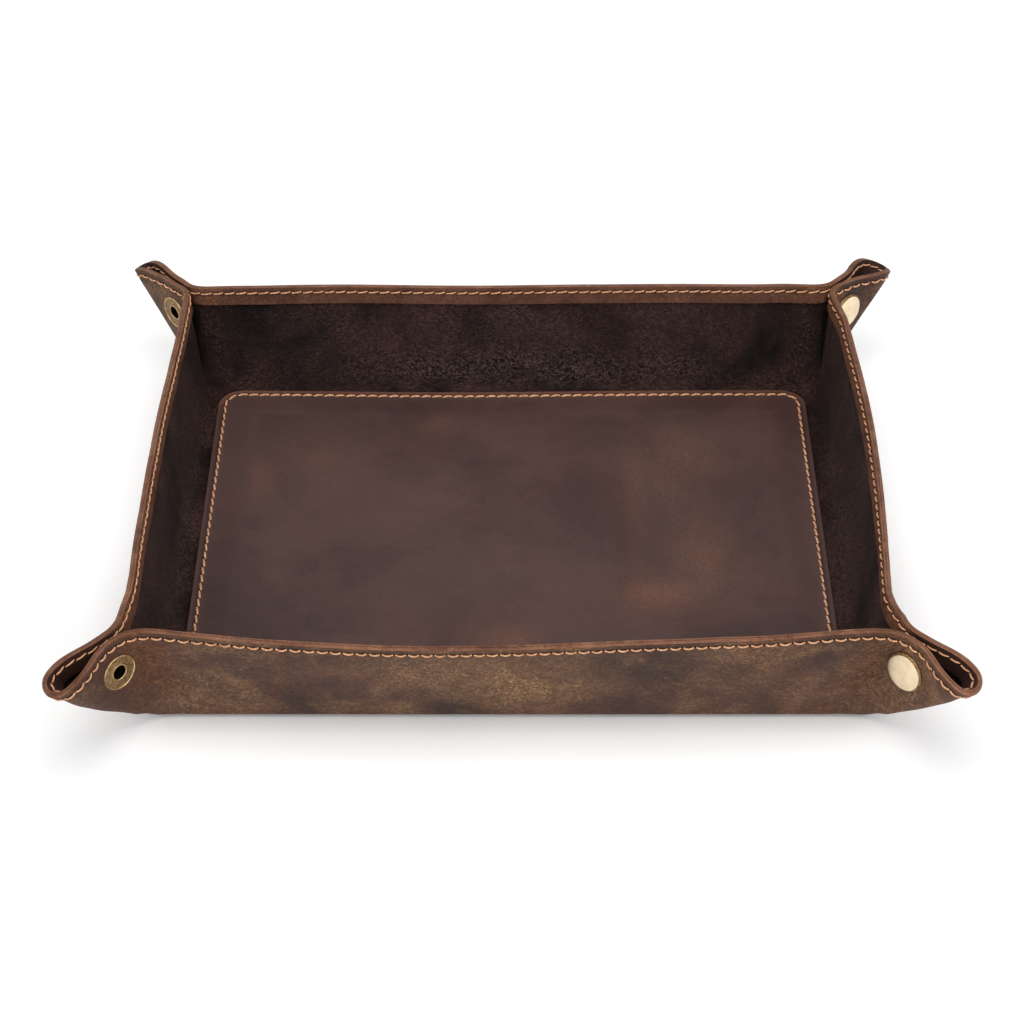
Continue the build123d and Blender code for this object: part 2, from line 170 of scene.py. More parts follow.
@dataclass(frozen=True)
class Settling:
    """How this tray has settled in use: small shifts of its rim and ears, in millimetres.

    Each table holds pairs of a place along a wall and the shift of its rim there.
    """

    # Outward shifts of the left wall's rim, from front to back
    left: tuple[tuple[float, float], ...] = (
        (-100, 3.4), (-90, 3.2), (-87, 3.0), (-84, 2.5), (-78, 1.4), (-68, 0.9), (-57, 0.7),
        (-36, 0.0), (-14, 0.0), (9, -0.7), (20, -1.3), (31, -1.85), (43, -2.3), (60, -2.0),
        (75, -1.2), (91, -0.3),
    )
    # Outward shifts of the right wall's rim, from front to back
    right: tuple[tuple[float, float], ...] = (
        (-100, 3.6), (-90, 2.7), (-87, 1.4), (-84, 0.5), (-81, -0.25), (-78, -0.8), (-68, -1.0),
        (-57, -0.9), (-26, 0.3), (9, 0.8), (43, 0.85), (62, 0.5), (75, -0.1), (84, -1.2),
        (92, -2.3), (98, -1.7), (108, -0.2), (118, -0.4), (128, -1.2),
    )
    # Backward shifts of the front wall's rim, from left to right
    front: tuple[tuple[float, float], ...] = (
        (-104, 0.0), (-90, -0.1), (-50, 0.0), (-24, 0.3), (-10, 0.45), (3, 0.55), (16, 0.85),
        (29, 1.15), (42, 1.55), (55, 1.7), (68, 1.8), (81, 1.45), (94, 1.0), (107, 0.35),
        (118, 0.0),
    )
    front_rise: float = 0.6  # Rise of the front rim for each millimetre of its backward shift
    front_back: float = 1.9  # Backward shift of the front wall's two upper corners
    back_right: float = 1.3  # Backward shift of the back wall's rim at its right end
    # How far the two front ears' outer folds hang down, left and right
    sags: tuple[float, float] = (1.3, 1.0)
    right_rise: float = 1.1  # How far the front right ear's rim stands higher than the left one's
    # How far the snaps pull the two sides of a pinch together, in front and at the back
    tight: tuple[float, float] = (0.3, 1.2)
    rest: float = 0.55  # How far the corners' feet settle onto the table
    back_turn: float = 1.9  # How far the back ears' tips lean towards the tray's middle
    # Radius of the loop at each ear's tip: front left and right, back left and right
    bulges: tuple[float, float, float, float] = (6.0, 6.0, 3.8, 6.4)
    height: float = 42.0  # Height of the rim, at which the shifts are whole

    def bulge(self, x: Array, y: Array) -> Array:
        """Return the radius of the ears' loops at their tips, for places of the flat blank."""
        pairs = (np.where(x < 0, *self.bulges[:2]), np.where(x < 0, *self.bulges[2:]))
        return np.where(y < 0, *pairs)

    def shift(self, blank: "Blank", flat: tuple[Array, Array], points: Array) -> Array:
        """Work out the shifts of points of the folded sheet.

        Args:
            blank: The blank's sizes.
            flat: The points' places in the flat blank, across and along it.
            points: The folded points.

        Returns:
            The shift of each point.
        """
        x, y = flat
        place_x, place_y, rise = points[..., 0], points[..., 1], points[..., 2]
        front, sign = y < 0, np.where(x < 0, -1.0, 1.0)
        lift = np.clip((rise - 1.0) / self.height, 0.0, 1.1)
        out = sum(blank.past(place_x, place_y)) / ROOT2

        def sway(table: tuple[tuple[float, float], ...], place: Array) -> Array:
            """Read a table of shifts at some places."""
            return np.interp(place, *zip(*table))

        sides = np.where(x < 0, sway(self.left, place_y), sway(self.right, place_y))
        fade = 1 - 0.5 * smooth((out - 12.0) / 24.0) * front
        across = sign * sides * lift * smooth((np.abs(place_x) - 60.0) / 55.0) * fade
        raised = sway(self.front, place_x) * lift * (place_y < 0) * smooth(rise / 20.0)
        near_front = smooth((np.abs(place_x) - 75.0) / 45.0) * (1 - smooth((out - 14.0) / 20.0))
        near_back = smooth((x - 30.0) / 50.0) * (1 - smooth((out - 16.0) / 20.0))
        backward = self.front_back * lift * front * near_front + raised
        backward += self.back_right * lift * (y > 0) * near_back
        past = blank.past(x, y)
        along, away = blank.diagonal(x, y)
        fold = (1 - smooth(away / 16.0)) * smooth((along - 14.0) / 16.0)
        fold *= 1 - smooth((along - 40.0) / 12.0)
        foot = (1 - smooth((np.hypot(*past) - 5.0) / 8.0)) * smooth((rise - 0.7) / 2.4)
        down = -np.where(x < 0, *self.sags) * fold * front - self.rest * foot
        turn = np.clip(out / 40.0, 0.0, 1.1) * (y > 0) * smooth(rise / 12.0)
        across -= sign * self.back_turn * turn
        ear = smooth((out - 6.0) / 20.0) * smooth(rise / 30.0)
        down += self.front_rise * raised + self.right_rise * front * (x > 0) * ear
        neck = np.where(front, *self.tight) * blank.neck(x, y) / ROOT2
        neck *= np.where(past[0] > past[1], -1.0, 1.0)
        across += sign * neck
        backward -= np.where(front, -1.0, 1.0) * neck
        return np.stack([across, backward, down], axis=-1)


@dataclass(frozen=True)
class WaxAndShadePatch:
    """A soft paler or darker patch, with its middle and size in millimetres: moved wax, rubbing,
    painted sheen and painted shade.
    """

    across: float  # Middle of the patch across the blank
    along: float  # Middle of the patch along the blank
    width: float
    length: float  # Size along
    share: float  # Paler above 0, darker below 0


def wax_patches(*rows: tuple[float, ...]) -> tuple[WaxAndShadePatch, ...]:
    """Make patches from rows of their numbers."""
    return tuple(WaxAndShadePatch(*row) for row in rows)


def moved_wax_and_shade(patches: Sequence[WaxAndShadePatch], x: Array, y: Array) -> Array:
    """Return the sum of some patches at places of the blank."""
    share = np.zeros_like(x)
    for patch in patches:
        off = np.hypot((x - patch.across) / patch.width, (y - patch.along) / patch.length)
        share += patch.share * np.exp(-(off**2))
    return share


@dataclass(frozen=True)
class Blank:
    """Sizes of the leather blank and of its folds, in millimetres and degrees, and its folding."""

    base_width: float = 242.0  # Distance between the side folds
    base_depth: float = 183.0  # Distance between the front and back folds
    wall_height: float = 44.5  # Distance from a fold to the rim, along the leather
    corner_radius: float = 20.0
    leather: float = 1.4
    facing: float = 0.8
    glue: float = 0.05  # Gap between the blank and the facing strip
    facing_width: float = 7.5
    corner_lean: float = 8.5  # Lean of the walls at the corners
    front_lean: float = 16.0  # Lean of the front wall at its middle
    back_lean: float = 9.5
    side_lean: float = 12.0
    straight_end: float = 6.6  # Length of a wall's end that doesn't bow
    ear_offset: float = 2.9  # Distance from an ear's middle plane to each of its flaps
    neck_dip: float = 1.1  # How far a flap dips inward between its fold and its pinch
    snap_inset: float = 12.5  # Distance from the rim to a snap's axis
    snap_fold_inset: float = 15.5  # Distance from an ear's outer fold to a snap's axis
    bend_half: float = 5.0  # Half the width of a soft fold
    crisp_half: float = 1.5  # Half the width of a sharp fold
    pinch_half: float = 9.0  # Half the width of a pinch
    settling: Settling = Settling()
    # Patches of moved wax on the outer face
    patches: tuple[WaxAndShadePatch, ...] = wax_patches(
        (2, -112, 36, 20, 0.95), (-38, -124, 26, 9, 0.45), (-84, -119, 20, 10, 0.12),
        (-58, -107, 15, 9, -0.6), (-18, -98, 10, 5, -0.8), (24, -101, 12, 6, -0.7),
        (56, -109, 20, 18, -0.5), (82, -116, 12, 10, 0.35), (-106, -109, 9, 14, -0.5),
        (101, -122, 10, 8, -0.4), (-138, -116, 16, 24, -1.1), (138, -116, 14, 22, -0.8),
        (-112, -110, 5, 18, -0.6), (104, -121, 4, 5, 0.5), (100, -112, 4, 6, 0.6),
        (96, -103, 5, 6, 0.6), (-132, 30, 14, 34, 0.4), (140, -20, 16, 30, 0.4),
        (30, 118, 40, 14, 0.4),
    )
    # Painted shade, below 0, and painted sheen, above 0, on the inner face: darker side walls and
    # upper back corners, a sheen along the walls' feet
    inner_sheen_and_shade: tuple[WaxAndShadePatch, ...] = wax_patches(
        (-142, 10, 12, 110, -0.55), (142, 10, 12, 110, -0.55), (-118, 122, 48, 22, -1.1),
        (120, 122, 44, 22, -1.0), (4, 99, 85, 8, 1.2), (-126, -8, 7, 80, 1.2),
        (126, -8, 7, 80, 1.0),
    )

    def half_length(self, side: Side) -> float:
        """Return half the length of a side's fold line."""
        return (self.base_width if side in (Side.FRONT, Side.BACK) else self.base_depth) / 2

    def distance(self, side: Side) -> float:
        """Return the distance from the middle of the base to a side's fold line."""
        return (self.base_depth if side in (Side.FRONT, Side.BACK) else self.base_width) / 2

    @property
    def slant(self) -> float:
        """How far the pinch crease leans along the wall for each millimetre of height."""
        return math.sin(math.radians(self.corner_lean))

    def lean(self, station: Array, half: float, middle: Array | float) -> Array:
        """Return a wall's lean in radians along its length: bowed, most at its middle.

        Args:
            station: Distance from the wall's middle.
            half: Half the length of the wall's fold.
            middle: Lean at the wall's middle, in degrees.
        """
        share = np.minimum(1.0, np.abs(station) / (half - self.straight_end))
        return np.radians(self.corner_lean + (middle - self.corner_lean) * (1 - share**2))

    def past(self, x: Array, y: Array) -> tuple[Array, Array]:
        """Return how far places lie past the side folds, and past the front and back folds."""
        return np.abs(x) - self.base_width / 2, np.abs(y) - self.base_depth / 2

    def diagonal(self, x: Array, y: Array) -> tuple[Array, Array]:
        """Return the distances along an ear's outer fold and away from it."""
        past_x, past_y = self.past(x, y)
        return (past_x + past_y) / ROOT2, np.abs(past_x - past_y) / ROOT2

    def crease(self, x: Array, y: Array) -> tuple[Array, Array, Array]:
        """Return the distances past a place's own fold, the other fold and the pinch crease."""
        past = self.past(x, y)
        out, beyond = np.maximum(*past), np.minimum(*past)
        return out, beyond, beyond - (self.slant * out - self.ear_offset * ROOT2)

    @property
    def snap_place(self) -> tuple[float, float]:
        """A snap's distances past its flap's own fold and past the other fold."""
        rise = self.wall_height - self.snap_inset
        return rise, rise - self.snap_fold_inset * ROOT2

    def loop(self, along: Array, away: Array, bulge: Array) -> tuple[Array, Array]:
        """Shape an ear's teardrop loop.

        Args:
            along: Distance from the corner along the ear's outer fold.
            away: Distance from the outer fold, in the flat blank.
            bulge: Radius of the loop at the ear's tip.

        Returns:
            The height above the fold line and the spread from the ear's middle plane.
        """
        offset = self.ear_offset
        radius = 1.0 + (bulge - 1.0) * np.clip(along / 48.0, 0.0, 1.0) ** 2.3
        quarter = radius * math.pi / 2
        rise = (along + offset) * ROOT2 / (1 + self.slant)
        crease = (rise * (1 - self.slant) + offset * ROOT2) / ROOT2
        leg = np.clip((away - quarter) / np.maximum(crease - quarter, 1.0), 0.0, 1.0)
        dip = self.neck_dip * smooth(along / 25.0) * np.sin(math.pi * leg**1.3) ** 2
        spread = radius + (offset - radius) * smooth(leg) - dip
        turn = np.clip(away / radius, 0.0, math.pi / 2)
        spread = np.where(away < quarter, radius * np.sin(turn), spread)
        height = np.where(away < quarter, quarter - radius * np.cos(turn), away)
        snap_along = self.snap_place[0] * ROOT2 - self.snap_fold_inset
        near = np.hypot(along - snap_along, away - self.snap_fold_inset)
        return height, spread + (offset - spread) * (1 - smooth((near - 7.5) / 6.0))

    def folded(self, x: Array, y: Array) -> Array:
        """Fold places of the flat blank up, with sharp folds.

        Args:
            x: Places across the blank.
            y: Places along the blank.

        Returns:
            Points in space on the middle of the leather, one row of three numbers each.
        """
        middle = self.leather / 2
        points = np.stack([x, y, np.full_like(x, middle)], axis=-1)
        sign_x, sign_y = np.where(x < 0, -1.0, 1.0), np.where(y < 0, -1.0, 1.0)
        past_x, past_y = self.past(x, y)
        offset, slant = self.ear_offset, self.slant
        steep = math.atan2(math.sin(math.radians(90 - self.corner_lean)), ROOT2 * slant)
        fold = steep - math.atan2(1 - slant, 1 + slant)
        cos, sin = math.cos(fold), math.sin(fold)
        for across in (True, False):
            out, beyond = (past_y, past_x) if across else (past_x, past_y)
            own = (out > 0) & (out >= beyond)
            wall = own & (beyond < slant * out - offset * ROOT2)
            if across:
                middles = np.where(y < 0, self.front_lean, self.back_lean)
                lean = self.lean(x, self.base_width / 2, middles)
                risen = [x, sign_y * (self.base_depth / 2 + out * np.sin(lean))]
            else:
                lean = self.lean(y, self.base_depth / 2, self.side_lean)
                risen = [sign_x * (self.base_width / 2 + out * np.sin(lean)), y]
            risen = np.stack([*risen, middle + out * np.cos(lean)], axis=-1)
            points = np.where(wall[..., None], risen, points)
            along, away = (out + beyond) / ROOT2, (out - beyond) / ROOT2
            rise, spread = self.loop(along, away, self.settling.bulge(x, y))
            level = -offset * (1 - cos - sin) + along * cos - rise * sin
            height = middle + offset * (sin - cos) + along * sin + rise * cos
            turned = -spread if across else spread
            flap_x = sign_x * (self.base_width / 2 + (level + turned) / ROOT2)
            flap_y = sign_y * (self.base_depth / 2 + (level - turned) / ROOT2)
            flap = np.stack([flap_x, flap_y, height], axis=-1)
            points = np.where((own & ~wall)[..., None], flap, points)
        return points

    def softness(self, x: Array, y: Array) -> Array:
        """Return how far the folds near a place are rounded, 0 along the ears' outer folds."""
        along, away = self.diagonal(x, y)
        open_fold = 1 - (1 - smooth((away - 5.0) / 6.0)) * smooth((along - 6.0) / 6.0)
        return open_fold * (1 - self.held(x, y))

    def pinch(self, x: Array, y: Array) -> Array:
        """Return how near a place is to the upper part of a pinch crease, 0 to 1."""
        out, _, off = self.crease(x, y)
        near = 1 - smooth(np.where(off > 0, off / 8.0, -off / 22.0))
        upper = smooth((out - 10.0) / 18.0) * near
        corner = 0.35 * (1 - smooth((np.hypot(*self.past(x, y)) - 4.0) / 10.0))
        return np.maximum(upper, corner) * (1 - self.held(x, y))

    def neck(self, x: Array, y: Array) -> Array:
        """Return how near a place is to a pinch crease on the side away from the snap, 0 to 1."""
        out, _, off = self.crease(x, y)
        near = 1 - smooth(np.where(off > 0, off / 9.0, -off / 20.0))
        return smooth((out - 12.0) / 16.0) * near * (1 - self.held(x, y))

    def held(self, x: Array, y: Array) -> Array:
        """Return how flat a snap holds the leather round it, 0 to 1."""
        out, beyond, _ = self.crease(x, y)
        rise, reach = self.snap_place
        return 1 - smooth((np.hypot(out - rise, beyond - reach) - 7.8) / 4.5)

    def pull(self, x: Array, y: Array) -> Array:
        """Return how far the leather is pulled by its bends, which makes its wax paler, 0 to 1."""
        out, beyond, off = self.crease(x, y)
        _, away = self.diagonal(x, y)
        off = off + 3.0
        near = 1 - smooth(np.where(off > 0, off / 15.0, -off / 12.0))
        tip = 0.3 * (1 - smooth(away / 7.0)) * smooth((out - 6.0) / 10.0) * (beyond > 0)
        corner = smooth((np.hypot(x / 1.3, y) - 95.0) / 30.0)
        foot = 0.45 * (1 - smooth(np.abs(out - 1.5) / 7.0)) * corner
        return np.maximum.reduce([smooth((out - 6.0) / 16.0) * near, tip, foot])

    def hidden(self, x: Array, y: Array) -> Array:
        """Return how far inside a folded ear a place is, 0 to 1, which sets the painted shade
        there.
        """
        out, _, off = self.crease(x, y)
        return smooth((off + 1.0) / 7.0) * smooth((out - 4.0) / 10.0)

    def wax(self, x: Array, y: Array, inner: bool) -> Array:
        """Return, on the outer face, where the wax has moved away, above 0, and gathered, below 0;
        on the inner face, painted sheen, above 0, and painted shade, below 0.
        """
        return np.clip(moved_wax_and_shade(self.inner_sheen_and_shade if inner else self.patches, x, y), -1.0, 1.0)


class FoldedSheet:
    """The leather's middle surface: the folded blank with every fold rounded."""

    def __init__(self, blank: Blank, step: float = 1.0) -> None:
        """Fold the blank on a grid and round its folds.

        Args:
            blank: The blank to fold.
            step: Spacing of the grid.
        """
        self.blank, self.step = blank, step
        span_x = math.ceil(blank.base_width / 2 + blank.wall_height + 10)
        span_y = math.ceil(blank.base_depth / 2 + blank.wall_height + 10)
        self.start = np.array([-span_x, -span_y], float)
        lines = (np.arange(-span, span + step, step) for span in (span_x, span_y))
        x, y = np.meshgrid(*lines, indexing="ij")
        sharp = blank.folded(x, y)
        halves = (blank.bend_half, blank.crisp_half, blank.pinch_half)
        soft, crisp, wide = (self._rounded(sharp, half) for half in halves)
        soft += (wide - soft) * blank.pinch(x, y)[..., None]
        self.points = crisp + (soft - crisp) * blank.softness(x, y)[..., None]
        self.points += blank.settling.shift(blank, (x, y), self.points)
        self.points += self._unevenness(x, y)

    def _rounded(self, points: Array, half: float) -> Array:
        """Average the points over a tent-shaped window of a given half width."""
        count = math.ceil(half / self.step)
        shifts = np.arange(-count, count + 1)
        weights = np.maximum(0.0, 1 - np.abs(shifts * self.step) / half)
        weights /= weights.sum()
        for axis in (0, 1):
            pad = [(count, count) if a == axis else (0, 0) for a in range(3)]
            padded = np.pad(points, pad, mode="edge")
            places = np.arange(points.shape[axis]) + count
            pairs = zip(weights, shifts)
            points = sum(w * np.take(padded, places + shift, axis=axis) for w, shift in pairs)
        return points

    def _unevenness(self, x: Array, y: Array) -> Array:
        """Return the slight waves of soft leather, as shifts of the points."""
        past_x, past_y = self.blank.past(x, y)
        out, beyond, _ = self.blank.crease(x, y)
        amount = 0.45 * smooth(out / 40.0) * (1 - smooth((beyond + 25.0) / 20.0))
        wave = np.sin(x / 17.0 + 1.1 * np.sin(y / 23.0))
        wave += 0.7 * np.sin(y / 14.0 + 0.8 * np.sin(x / 31.0) + 1.0)
        side = past_x > past_y
        return np.stack([amount * wave * side, amount * wave * ~side, np.zeros_like(x)], axis=-1)

    def at(self, flat: Array) -> tuple[Array, Array, Array]:
        """Find places of the flat blank on the folded surface.

        Args:
            flat: Places in the flat blank, one row of two numbers each.

        Returns:
            The points, the inner face's normals, and the two directions along the blank, as an
            array of pairs.
        """
        shape = flat.shape[:-1]
        places = (flat.reshape(-1, 2) - self.start) / self.step
        cell = np.clip(np.floor(places).astype(int), 1, np.array(self.points.shape[:2]) - 3)
        part = places - cell
        (weights, slopes), (weights_y, slopes_y) = self._cubic(part[:, 0]), self._cubic(part[:, 1])
        steps = np.arange(-1, 3)
        cells_x, cells_y = cell[:, 0, None] + steps, cell[:, 1, None] + steps
        near = self.points[cells_x[:, :, None], cells_y[:, None, :]]
        point = np.einsum("na,nb,nabc->nc", weights, weights_y, near)
        run_x = np.einsum("na,nb,nabc->nc", slopes, weights_y, near) / self.step
        run_y = np.einsum("na,nb,nabc->nc", weights, slopes_y, near) / self.step
        normal = np.cross(run_x, run_y)
        normal /= np.linalg.norm(normal, axis=1, keepdims=True)
        runs = np.stack([run_x, run_y], axis=1)
        return point.reshape(*shape, 3), normal.reshape(*shape, 3), runs.reshape(*shape, 2, 3)

    @staticmethod
    def _cubic(t: Array) -> tuple[Array, Array]:
        """Return the weights of a smooth curve through four even points, and their slopes."""
        weights = [-t + 2 * t**2 - t**3, 2 - 5 * t**2 + 3 * t**3]
        weights += [t + 4 * t**2 - 3 * t**3, t**3 - t**2]
        slopes = [-1 + 4 * t - 3 * t**2, 9 * t**2 - 10 * t, 1 + 8 * t - 9 * t**2, 3 * t**2 - 2 * t]
        return 0.5 * np.stack(weights, axis=1), 0.5 * np.stack(slopes, axis=1)


@dataclass(frozen=True)
class ProfileRow:
    """One row of a leather piece's cross-section near its rim."""

    inset: float  # Distance from the rim
    depth: float
    turn: float  # Direction of the normal: 0 is inward, 90 is over the rim, 180 is outward
    finish: int  # Number of the material from this row to the next


class Piece:
    """A mesh being put together from grids of points that carry their own normals."""

    def __init__(self, name: str) -> None:
        """Start an empty piece under a name."""
        self.name, self.count = name, 0
        self.rows: list[Array] = []
        self.faces: list[tuple[int, ...]] = []
        self.finishes: list[int] = []

    def add_points(
        self,
        points: Array,
        normals: Array,
        flats: Array,
        insets: Array | float = 99.0,
        marks: tuple[Array | float, ...] = (0.0, 0.0, 0.0),
    ) -> Array:
        """Add points with their normals and their places in the flat blank.

        Args:
            points: The points, in millimetres.
            normals: A normal for each point.
            flats: Places in the flat blank.
            insets: Distances from the piece's rim.
            marks: How far the leather is pulled (on the floor panel, rubbed, with a painted
                highlight on its back edge), its wax has moved or painted sheen and shade lie on it,
                and how far it is hidden in an ear, where painted shade darkens it.

        Returns:
            The numbers of the added points, in the shape of the points.
        """
        shape = points.shape[:-1]
        spread = [np.broadcast_to(mark, shape)[..., None] for mark in (insets, *marks)]
        rows = np.concatenate([points, normals, flats, *spread], axis=-1)
        rows = rows.reshape(math.prod(shape), -1)
        self.rows.append(rows)
        self.count += len(rows)
        return np.arange(self.count - len(rows), self.count).reshape(shape)

    def add_face(self, numbers: Sequence[int], finish: int) -> None:
        """Add one face, leaving out the points that it meets twice."""
        face = tuple(dict.fromkeys(int(number) for number in numbers))
        if len(face) > 2:
            self.faces.append(face)
            self.finishes.append(finish)

    def add_faces(
        self, numbers: Array, finishes: Sequence[int] | int = 0, flip: bool = False
    ) -> None:
        """Add the quads between the neighbouring rows and columns of a grid of point numbers.

        Args:
            numbers: Grid of point numbers, rows by columns.
            finishes: Material number, or one for each step between rows.
            flip: Whether the faces are turned round.
        """
        steps = np.broadcast_to(finishes, len(numbers) - 1).tolist()
        for first, second, step in zip(numbers, numbers[1:], steps):
            quads = np.stack([first[:-1], first[1:], second[1:], second[:-1]], axis=1)
            for quad in quads[:, :: -1 if flip else 1].tolist():
                self.add_face(quad, step)

    def finish(self, materials: Sequence[Material]) -> Object:
        """Make the Blender object, in metres, with its materials.

        Args:
            materials: Materials in the order of the pieces' material numbers.

        Returns:
            The finished object, linked to the scene.
        """
        points, normals, flats, marks = np.split(np.concatenate(self.rows), (3, 6, 8), axis=1)
        normals /= np.maximum(np.linalg.norm(normals, axis=1, keepdims=True), 1e-9)
        mesh = plain_mesh(self.name, (points * MM).tolist(), self.faces, materials, self.finishes)
        corners = np.zeros(len(mesh.loops), np.int32)
        mesh.loops.foreach_get("vertex_index", corners)
        layout = mesh.uv_layers.new(name="flat")
        layout.data.foreach_set("uv", (flats[corners] * MM).astype(np.float32).ravel())
        marks[:, 0] *= MM
        for label, values in zip(("rim", "pull", "wax", "hidden"), marks.T):
            layer = mesh.attributes.new(label, "FLOAT", "POINT")
            layer.data.foreach_set("value", values.astype(np.float32))
        mesh.validate()
        mesh.normals_split_custom_set_from_vertices(normals.tolist())
        LOG.info("%s: %d faces", self.name, len(mesh.polygons))
        return show(self.name, mesh)


# Shader building


class Wire:
    """A value in a node tree, on which arithmetic adds Math nodes."""

    def __init__(self, bench: "NodeBench", socket: NodeSocket) -> None:
        """Hold one socket."""
        self.bench, self.socket = bench, socket

    def __add__(self, other: object) -> "Wire":
        """Return the sum."""
        return self.bench.maths("ADD", self, other)

    def __sub__(self, other: object) -> "Wire":
        """Return the difference."""
        return self.bench.maths("SUBTRACT", self, other)

    def __rsub__(self, other: object) -> "Wire":
        """Return what is left of a number."""
        return self.bench.maths("SUBTRACT", other, self)

    def __mul__(self, other: object) -> "Wire":
        """Return the product."""
        return self.bench.maths("MULTIPLY", self, other)

    def __abs__(self) -> "Wire":
        """Return the value without its sign."""
        return self.bench.maths("ABSOLUTE", self)

    def at_least(self, other: object) -> "Wire":
        """Return the larger of two values."""
        return self.bench.maths("MAXIMUM", self, other)

    def line(self, factor: object, shift: object) -> "Wire":
        """Return the value times a factor, plus a shift."""
        return self.bench.maths("MULTIPLY_ADD", self, factor, shift)

    def ramp(self, low: float, high: float) -> "Wire":
        """Stretch the values between two limits to 0 and 1, eased."""
        feeds = {0: self, 1: low, 2: high, 3: 0.0, 4: 1.0}
        return self.bench.wire("ShaderNodeMapRange", feeds, interpolation_type="SMOOTHSTEP")


class NodeBench:
    """Adds nodes to a tree and joins them."""

    def __init__(self, tree: NodeTree) -> None:
        """Work on one node tree."""
        self.tree = tree

    def add(self, kind: str, feeds: dict | None = None, **settings: object) -> Node:
        """Add a node.

        Args:
            kind: Blender's name for the node type.
            feeds: Values or wires for the node's inputs, by name or number.
            settings: The node's own settings.

        Returns:
            The new node.
        """
        node = self.tree.nodes.new(kind)
        for name, value in settings.items():
            setattr(node, name, value)
        for key, value in (feeds or {}).items():
            if isinstance(value, Wire):
                self.tree.links.new(value.socket, node.inputs[key])
            else:
                node.inputs[key].default_value = value
        return node

    def wire(
        self, kind: str, feeds: dict | None = None, output: str | int = 0, **settings: object
    ) -> Wire:
        """Add a node and return one of its outputs."""
        return Wire(self, self.add(kind, feeds, **settings).outputs[output])

    def maths(self, operation: str, *values: object) -> Wire:
        """Add a Math node."""
        return self.wire("ShaderNodeMath", dict(enumerate(values)), operation=operation)

    def mix(self, factor: object, first: object, second: object) -> Wire:
        """Add a colour Mix node."""
        return self.wire("ShaderNodeMix", {0: factor, 6: first, 7: second}, 2, data_type="RGBA")

    def noise(
        self,
        vector: Wire,
        scale: object,
        detail: float = 3.0,
        rough: float = 0.55,
        warp: float = 0.0,
        output: str = "Fac",
    ) -> Wire:
        """Add a noise texture, whose value is about 0 to 1."""
        feeds = {"Vector": vector, "Scale": scale, "Detail": detail, "Roughness": rough}
        return self.wire("ShaderNodeTexNoise", feeds | {"Distortion": warp}, output)

    def cells(self, vector: Wire, scale: object, shake: Wire, amount: float) -> Wire:
        """Return the distance to the nearest edge of uneven cells, shaken by a noise."""
        feeds = {0: shake, 1: (amount, amount, 0.0), 2: vector}
        moved = self.wire("ShaderNodeVectorMath", feeds, operation="MULTIPLY_ADD")
        feeds = {"Vector": moved, "Scale": scale}
        return self.wire("ShaderNodeTexVoronoi", feeds, "Distance", feature="DISTANCE_TO_EDGE")

    def group(self, tree: NodeTree, **feeds: object) -> dict[str, Wire]:
        """Place a node group with its inputs set, and return its outputs by name."""
        return self.ports(self.add("ShaderNodeGroup", feeds, node_tree=tree))

    def ports(self, node: Node) -> dict[str, Wire]:
        """Return a node's outputs by name."""
        return {socket.name: Wire(self, socket) for socket in node.outputs}

    def skin(self, colour: Wire, rough: Wire, bump: Wire, gloss: float, metal: float = 0.0) -> None:
        """Finish a material with a plain surface.

        Args:
            colour: Its colour.
            rough: Its roughness.
            bump: Its bumpy normal.
            gloss: Strength of its reflections.
            metal: How far it is metal.
        """
        feeds = {"Base Color": colour, "Roughness": rough, "Metallic": metal, "Normal": bump}
        skin = self.wire("ShaderNodeBsdfPrincipled", feeds | {"Specular IOR Level": gloss})
        self.add("ShaderNodeOutputMaterial", {"Surface": skin})


def material_bench(name: str) -> tuple[Material, NodeBench]:
    """Start a material without nodes, and return it with a bench on its tree."""
    material = bpy.data.materials.new(name)
    material.use_nodes = True
    material.node_tree.nodes.clear()
    return material, NodeBench(material.node_tree)


def group_bench(
    name: str, inputs: dict[str, float | None], outputs: Sequence[str]
) -> tuple[NodeBench, dict[str, Wire]]:
    """Start a shader node group with named inputs and outputs.

    Args:
        name: The group's name.
        inputs: Default value of each input, or None for a vector.
        outputs: Names of the outputs, which are all numbers.

    Returns:
        A bench on the group's tree, and the group's inputs by name.
    """
    tree = bpy.data.node_groups.new(name, "ShaderNodeTree")
    for label, value in inputs.items():
        kind = "NodeSocketVector" if value is None else "NodeSocketFloat"
        socket = tree.interface.new_socket(name=label, in_out="INPUT", socket_type=kind)
        if value is not None:
            socket.default_value = value
    for label in outputs:
        tree.interface.new_socket(name=label, in_out="OUTPUT", socket_type="NodeSocketFloat")
    bench = NodeBench(tree)
    return bench, bench.ports(bench.add("NodeGroupInput"))


